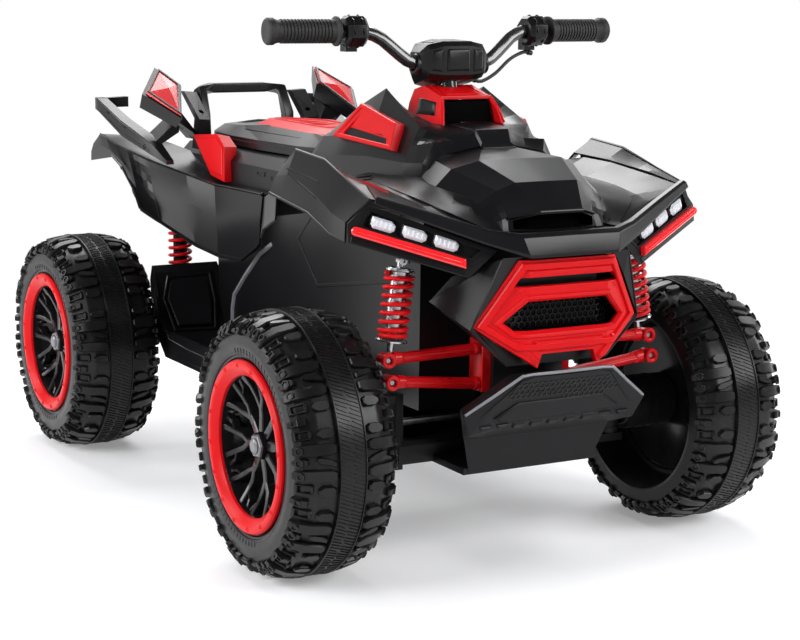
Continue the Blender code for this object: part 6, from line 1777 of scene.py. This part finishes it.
def makeFrontFenders():
    node = "front_fender_left"
    for side, word in sides:
        shell_ = skin("fender", rowQuads(fenderRows), 0.0026, (1, 0, 0.6), 0.0013, 7)
        parts = [shell_]
        edge = [(Vector(p) + Vector((-0.0004, 0, 0.0012)), Vector((0.9, 0, 0.2))) for p in fender["low"]]
        parts.append(bead("edge", [(p, n.normalized()) for p, n in edge], 0.0046, 0.0016, 0.0012))
        crest = [(Vector(p), Vector((0.55, 0, 0.83)).normalized()) for p in fender["crest"]]
        parts.append(bead("crest", crest, 0.0030, 0.0010, 0.0010))
        rear = [(0.1050, -0.0900, 0.3985), (0.1980, -0.1020, 0.3960), (0.2040, -0.1060, 0.3680)]
        front = [(0.1050, -0.2000, 0.4400), (0.2280, -0.2060, 0.4440), (0.2330, -0.2120, 0.4060)]
        middle = [(0.1050, -0.1500, 0.4300), (0.2200, -0.1540, 0.4280), (0.2240, -0.1600, 0.3880)]
        flap = skin("flap", rowQuads([rear, middle, front]), 0.0024, (0.4, 0, 1), 0.0016, 14)
        flapEdge = [(Vector(p) + Vector((-0.0004, 0, 0.0010)), Vector((0.95, 0, 0.2)).normalized()) for p in
                    (rear[2], middle[2], front[2])]
        parts += [flap, bead("edge", flapEdge, 0.0044, 0.0015, 0.0012)]
        for k in range(3):    # ribs on the flap's upper side
            spots = [(Vector((0.1250 + k * 0.030, y, z)), Vector((0, -0.25, 0.97))) for y, z in
                     ((-0.1060, 0.4022), (-0.1500, 0.4296), (-0.1900, 0.4368))]
            parts.append(bead("rib", spots, 0.0050, 0.0016, 0.0022))
        piece = joined("fender", parts)
        piece = onSide(piece, side)
        settle(crisp(piece, 26), word + "FrontFender", *blackShell, ["front_fender_" + word])
    # the slot is thin darker strips laid on the fender: painted shade
    strips = [bead("slot", traced("front_fender_right", line), 0.0050, 0.0006, 0.0010) for line in fenderSlotShade]
    settle(joined("slots", both(strips)), "FenderSlotShadeStrips", *recessShadeShell)
    print("front fenders made")


# Running boards: raised ribs on the floor, the outer rim, and the hexagon panel behind the foot
board = {
    "inner": 0.0975, "outer": 0.2020, "floor": 0.1655, "ribs": 11, "firstRib": -0.150, "ribStep": 0.0305,
    "pedal": (-0.125, -0.028),    # no ribs where the pedal is
    "hexagon": [(0.112, 0.266), (0.184, 0.264), (0.194, 0.230), (0.186, 0.184), (0.118, 0.182), (0.107, 0.222)],
    "rim": [(-0.168, 0.170), (0.0, 0.170), (0.150, 0.170), (0.222, 0.1735), (0.2620, 0.2050), (0.2700, 0.2500)],
    "low": [(-0.168, 0.1545), (0.0, 0.1545), (0.215, 0.1545)],
    "bosses": (-0.120, -0.030, 0.060, 0.150),
}


def makeBoards():
    node = "running_board_left"
    inner, outer, floor, upward = board["inner"], board["outer"], board["floor"], Vector((0, 0, 1))
    for side, word in sides:
        tray = roundEdges(nodeCopy(node), 0.0020, 3, 16)
        parts = [tray]
        for k in range(board["ribs"]):    # grip ribs on the floor
            y = board["firstRib"] + k * board["ribStep"]
            low = Vector((inner + 0.012, y, floor))
            high = Vector((outer - 0.020, y, floor))
            if side < 0 and board["pedal"][0] < y < board["pedal"][1]:
                continue
            spots = [(low.lerp(high, t), upward) for t in (0, 0.06, 0.94, 1)]
            parts.append(bead("rib", spots, 0.0075, 0.0022, 0.0012, 0.32))
        for x in (inner + 0.0085, outer - 0.0165):
            spots = [(Vector((x, y, floor)), upward) for y in (-0.165, -0.160, 0.195, 0.205)]
            parts.append(bead("border", spots, 0.0045, 0.0018, 0.0012))
        wall = [cast(node, (x, 0.05, z), (0, 1, 0)) for x, z in board["hexagon"]]
        normal = wall[0][1]
        corners = [spot for spot, _ in wall]
        parts.append(roundEdges(framed("hexagon", corners, normal, 0.0050, -0.0015, 0.0026, 0.0014), 0.0004))
        parts.append(roundEdges(plate("panel", shrunk(corners, 0.0085, normal), normal, 0.0012, 0.0020), 0.0003))
        spots = [cast(node, (0.5, y - 0.006, z + 0.003), (-1, 0, 0)) for y, z in board["rim"]]
        parts.append(bead("rimLine", spots, 0.0050, 0.0015, 0.0010))
        low = outerLine(node, board["low"])
        parts.append(bead("lowLine", low, 0.0030, 0.0012, 0.0010))
        for y in board["bosses"]:    # under the tray
            parts.append(capped(lathe("boss", [(-0.001, 0.0090), (0.0035, 0.0085), (0.0045, 0.0060), (0.0035, 0.0030),
                                               (0.0035, 0.0002)], 20, (0.150, y, 0.1490), (0, 0, -1))))
        piece = joined("board", parts)
        piece = onSide(piece, side)
        settle(crisp(piece, 30), word + "RunningBoard", *blackShell, ["running_board_" + word])
    print("boards made")


pedal = {"ribs": 7, "firstRib": -0.048, "ribStep": 0.0085, "middle": -0.150,
         "across": (-0.0165, -0.0140, 0.0140, 0.0165)}


def makePedal():
    parts = [roundEdges(nodeCopy("foot_pedal"), 0.0012, 3, 24)]
    for k in range(pedal["ribs"]):
        y = pedal["firstRib"] - k * pedal["ribStep"]
        spots = [cast("foot_pedal", (pedal["middle"] + x, y, 0.3), (0, 0, -1)) for x in pedal["across"]]
        parts.append(bead("rib", spots, 0.0046, 0.0018, 0.0008))
    settle(softShade(joined("pedal", parts), 30), "FootPedal", "pedal", "gearGrey", "gearbox_plastic", ["foot_pedal"])
    print("pedal made")


# Rear: trims, brackets with rails, blade lenses, the hoop, and the side skins
def makeTrims():
    node = "rear_trim_left"
    for side, word in sides:
        parts = [roundEdges(nodeCopy(node), 0.0014, 3, 16)]
        corners = [Vector(p) for p in ((0.1135, 0.33, 0.467), (0.1095, 0.248, 0.474), (0.1095, 0.222, 0.457),
                                       (0.114, 0.212, 0.406), (0.1140, 0.262, 0.4120))]
        normal = Vector((1, 0, 0.05)).normalized()
        inner = shrunk(corners, 0.0065, normal)
        flat = [cast(node, (0.5, p.y, p.z), (-1, 0, 0))[0] for p in inner]
        parts.append(roundEdges(plate("panel", flat, normal, 0.0014, 0.0026, 0.0018), 0.0004))
        line = outerLine(node, ((0.3200, 0.4640), (0.2510, 0.4695), (0.2270, 0.4545), (0.2190, 0.4120)))
        parts.append(bead("line", line, 0.0024, 0.0010, 0.0010))
        piece = joined("trim", parts)
        piece = onSide(piece, side)
        settle(crisp(piece, 30), word + "RearTrim", *redShell, ["rear_trim_" + word])
    print("trims made")


def closed(obj):    # an open cap gets a flat underside
    bm = bmesh.new()
    bm.from_mesh(obj.data)
    bmesh.ops.dissolve_degenerate(bm, edges=bm.edges, dist=1e-6)
    bmesh.ops.holes_fill(bm, edges=[e for e in bm.edges if e.is_boundary], sides=0)
    bmesh.ops.recalc_face_normals(bm, faces=bm.faces)
    bm.to_mesh(obj.data)
    bm.free()
    return obj


def makeBrackets():
    node = "rear_bracket_left"
    for side, word in sides:
        parts = [roundEdges(nodeCopy(node), 0.0012, 2, 22)]
        for y, z in ((0.365, 0.444), (0.420, 0.4710), (0.470, 0.4890)):    # screws along the rail
            spot, way = cast(node, (0.5, y, z + 0.004), (-1, 0, 0))
            parts.append(screw(spot, way, 0.0042, 0.0010))
        ridge = outerLine(node, ((0.352, 0.4540), (0.430, 0.4815), (0.500, 0.5095)))
        parts.append(bead("ridge", ridge, 0.0030, 0.0013, 0.0010))
        low = outerLine(node, ((0.352, 0.4430), (0.430, 0.4655), (0.500, 0.4965)))
        parts.append(bead("ridge", low, 0.0026, 0.0010, 0.0010))
        front = [cast(node, (x, 0.2, z), (0, 1, 0)) for x, z in ((0.0925, 0.4950), (0.0925, 0.4620))]
        parts.append(bead("rib", front, 0.0040, 0.0016, 0.0010))
        piece = joined("bracket", parts)
        piece = onSide(piece, side)
        settle(crisp(piece, 30), word + "RearBracket", *blackShell, ["rear_bracket_" + word])
        lens = roundEdges(nodeCopy("blade_lens_left"), 0.0007, 3, 24)
        face = [Vector(p) for p in ((0.148, 0.291, 0.5), (0.1745, 0.361, 0.531), (0.1355, 0.413, 0.5625),
                                    (0.12, 0.367, 0.541))]
        normal = (face[2] - face[0]).cross(face[3] - face[1]).normalized()
        normal = normal if normal.z > 0 else -normal
        inner = shrunk(face, 0.0040, normal)
        peaks = [inner[0].lerp(inner[2], 0.34) + normal * 0.0048, inner[0].lerp(inner[2], 0.52) + normal * 0.0048]
        ridge = patchwork("ridge", [(inner[0], inner[1], peaks[1], peaks[0]), (inner[1], inner[2], peaks[1], peaks[1]),
                                    (inner[2], inner[3], peaks[1], peaks[1]),
                                    (inner[3], inner[0], peaks[0], peaks[1])], 1)
        foot = [p - normal * 0.0012 for p in inner]
        crown = loft("crown", [foot, inner])
        lensParts = [lens, crown, closed(ridge)]
        rim = framed("rim", face, normal, 0.0036, -0.0030, 0.0016, 0.0007)
        rim = roundEdges(rim, 0.0003)
        rim = onSide(rim, side)
        settle(rim, word + "BladeRim", *blackShell)
        glass = joined("blade", lensParts)
        glass = onSide(glass, side)
        settle(crisp(glass, 30), word + "BladeLens", "chassis", "bladeRed", "lamp_plastic", ["blade_lens_" + word])
    print("brackets made")


def makeHandle():
    parts = [roundEdges(nodeCopy("rear_handle"), 0.0030, 4, 30)]
    for hand in (-1, 1):
        for z in (0.4680, 0.4740, 0.4800):
            spot, way = cast("rear_handle", (hand * 0.2, 0.3845, z), (-hand, 0, 0))
            parts.append(bead("groove", [(spot + Vector((0, -0.0060, 0)), way), (spot + Vector((0, 0.0060, 0)), way)],
                              0.0022, 0.0009))
    grip = []
    for k in range(9):
        x = -0.036 + k * 0.009
        grip.append(cast("rear_handle", (x, 0.2, 0.5315), (0, 1, 0)))
    for spot, way in grip:
        parts.append(bead("rib", [(spot + Vector((0, 0, -0.0045)), way), (spot + Vector((0, 0, 0.0045)), way)],
                          0.0036, 0.0012))
    settle(crisp(joined("handle", parts), 30), "RearHandle", *blackShell, ["rear_handle"])
    print("handle made")


def makeSeat():
    seat = roundEdges(nodeCopy("seat"), 0.0030, 3, 12)
    parts = [seat]
    for hand in (-1, 1):    # seam bead along the seat's shoulder
        line = [cast("seat", (hand * 0.2, y, 0.4640), (-hand, 0, 0)) for y in
                (0.020, 0.060, 0.110, 0.170, 0.220, 0.270, 0.330, 0.355)]
        parts.append(bead("seam", line, 0.0024, 0.0012, 0.0010))
        side = [cast("seat", (hand * x, y, 0.7), (0, 0, -1)) for x, y in
                ((0.0600, 0.070), (0.0665, 0.170), (0.0620, 0.250), (0.0400, 0.325))]
        parts.append(bead("line", side, 0.0030, 0.0010, 0.0010))
    for k in range(3):    # ribs on the rear pad
        y = 0.318 + k * 0.011
        line = [cast("seat", (x, y, 0.7), (0, 0, -1)) for x in (-0.034, -0.017, 0.0, 0.017, 0.034)]
        parts.append(bead("rib", line, 0.0042, 0.0016, 0.0010))
    settle(crisp(joined("seat", parts), 30), "SaddleBase", *blackShell, ["seat"])
    parts = [roundEdges(nodeCopy("seat_insert"), 0.0022, 3, 14)]
    outline = [(0.0225, 0.062), (0.0310, 0.095), (0.0345, 0.170), (0.0250, 0.228), (0.0085, 0.258)]
    whole = outline + [(-x, y) for x, y in reversed(outline)]
    top = [cast("seat_insert", (x, y, 0.7), (0, 0, -1)) for x, y in whole]
    parts.append(bead("line", [*top, top[0]], 0.0026, 0.0011, 0.0010))
    for k in range(5):
        y = 0.110 + k * 0.026
        line = [cast("seat_insert", (x, y + abs(x) * 0.5, 0.7), (0, 0, -1)) for x in (-0.022, 0.0, 0.022)]
        parts.append(bead("rib", line, 0.0050, 0.0013, 0.0010))
    settle(crisp(joined("insert", parts), 30), "SaddleInsert", *redShell, ["seat_insert"])
    print("seat made")


def makeRearFenders():
    node = "rear_fender_right"
    rows = [[(-x, y, z) for x, y, z in row] for row in rearRows]
    piece = skin("fender", rowQuads(rows), 0.0026, (-1, 0, 0.4), 0.0014, 6)
    parts = [piece]
    arch = [(-0.1200, 0.084, 0.3275), (-0.1215, 0.135, 0.3010), (-0.1290, 0.205, 0.2980), (-0.1490, 0.243, 0.3100),
            (-0.1745, 0.315, 0.3370), (-0.2005, 0.331, 0.3580), (-0.2020, 0.352, 0.3840), (-0.2020, 0.400, 0.4135),
            (-0.2020, 0.445, 0.4275)]
    spots = [(Vector(p) + Vector((-0.0002, 0, 0.0010)), Vector((-1, 0, 0))) for p in arch]
    parts.append(bead("arch", spots, 0.0048, 0.0016, 0.0014))
    top = [(-0.1200, 0.070, 0.4032), (-0.1230, 0.150, 0.4028), (-0.1260, 0.222, 0.4022), (-0.1450, 0.283, 0.4127),
           (-0.1780, 0.353, 0.4292), (-0.1930, 0.400, 0.4402), (-0.1980, 0.440, 0.4482), (-0.2000, 0.475, 0.4562),
           (-0.2000, 0.500, 0.4582)]
    parts.append(bead("shoulder", [(Vector(p), Vector((-0.7, 0, 0.7)).normalized()) for p in top], 0.0032, 0.0012,
                      0.0012))
    for pixel in ((106, 168), (123, 176)):
        spot, way = seen(node, pixel)
        parts.append(screw(spot, way, 0.0030))
    right = crisp(joined("fender", parts), 26)
    left = mirrorPiece(right, "fender")
    settle(right, "rightRearFender", *blackShell, ["rear_fender_right"])
    settle(left, "leftRearFender", *blackShell, ["rear_fender_left"])
    print("rear fenders made")


# pixel line of the body's side edge, where a grey bead paints its highlight
bodyHighlightLine = [(272, 244), (260, 254), (246, 275), (235, 294), (233, 308), (233, 326)]


def makeDriveParts():
    parts = [roundEdges(nodeCopy("rear_gearbox"), 0.0014, 3, 24)]
    for k in range(6):    # cooling ribs on the motor's back
        x = -0.030 + k * 0.012
        spots = [cast("rear_gearbox", (x, 0.6, z), (0, -1, 0)) for z in (0.140, 0.150, 0.165, 0.178)]
        parts.append(bead("rib", spots, 0.0036, 0.0022, 0.0012))
    for x, y in ((-0.028, 0.285), (0.028, 0.285), (-0.028, 0.372), (0.028, 0.372)):
        spot, way = cast("rear_gearbox", (x, y, 0.0), (0, 0, 1))
        parts.append(screw(spot, way, 0.0036))
    settle(softShade(joined("gearbox", parts), 30), "RearGearbox", "swing_arm", "gearGrey", "gearbox_plastic",
           ["rear_gearbox"])
    cell = roundEdges(nodeCopy("battery"), 0.0030, 3, 24)
    parts = [cell, block("lid", (-0.0435, -0.1185, 0.2050), (0.0435, 0.0285, 0.2078))]
    for x in (-0.028, 0.028):
        parts.append(capped(lathe("post", [(-0.001, 0.0055), (0.0060, 0.0055), (0.0070, 0.0045), (0.0070, 0.0002)], 18,
                                  (x, 0.005, 0.2160), (0, 0, 1))))
    settle(softShade(joined("battery", parts), 30), "Battery", "chassis", "gearGrey", "battery_plastic", ["battery"])
    button = roundEdges(nodeCopy("start_button"), 0.0012, 3, 30)
    settle(button, "StartButton", "button", "redGloss", "red_plastic", ["start_button"])
    print("drive parts made")


# Pieces whose CAD shape is right, with their edges rounded
dressed = {
    "chassis_tub": ("chassis", "chassisBlack", "body_plastic", 0.0008),
    "handlebar": ("steering", "barBlack", "bar_steel", 0.0004),
    "tie_rod": ("tie_rod", "zincSteel", "bright_steel", 0.0006),
}


def dressNodes():
    for node, (body, finish, slot, edge) in dressed.items():
        settle(roundEdges(nodeCopy(node), edge), node + "_piece", body, finish, slot, [node])
    print("CAD shapes dressed")


makeCamera()
makeCable()
makeStudio()
makeWheels()
makeSprings()
makeDampers()
makeArms()
makeHubs()
makeGrips()
makePods()
makeBarCover()
makeHeadlamps()
makeGrille()
makeNose()
makeHood()
makeCowl()
makeVents()
makeFrontFenders()
makeBoards()
makePedal()
makeTrims()
makeBrackets()
makeHandle()
makeSeat()
makeRearFenders()
makeBody()
makeDriveParts()
dressNodes()
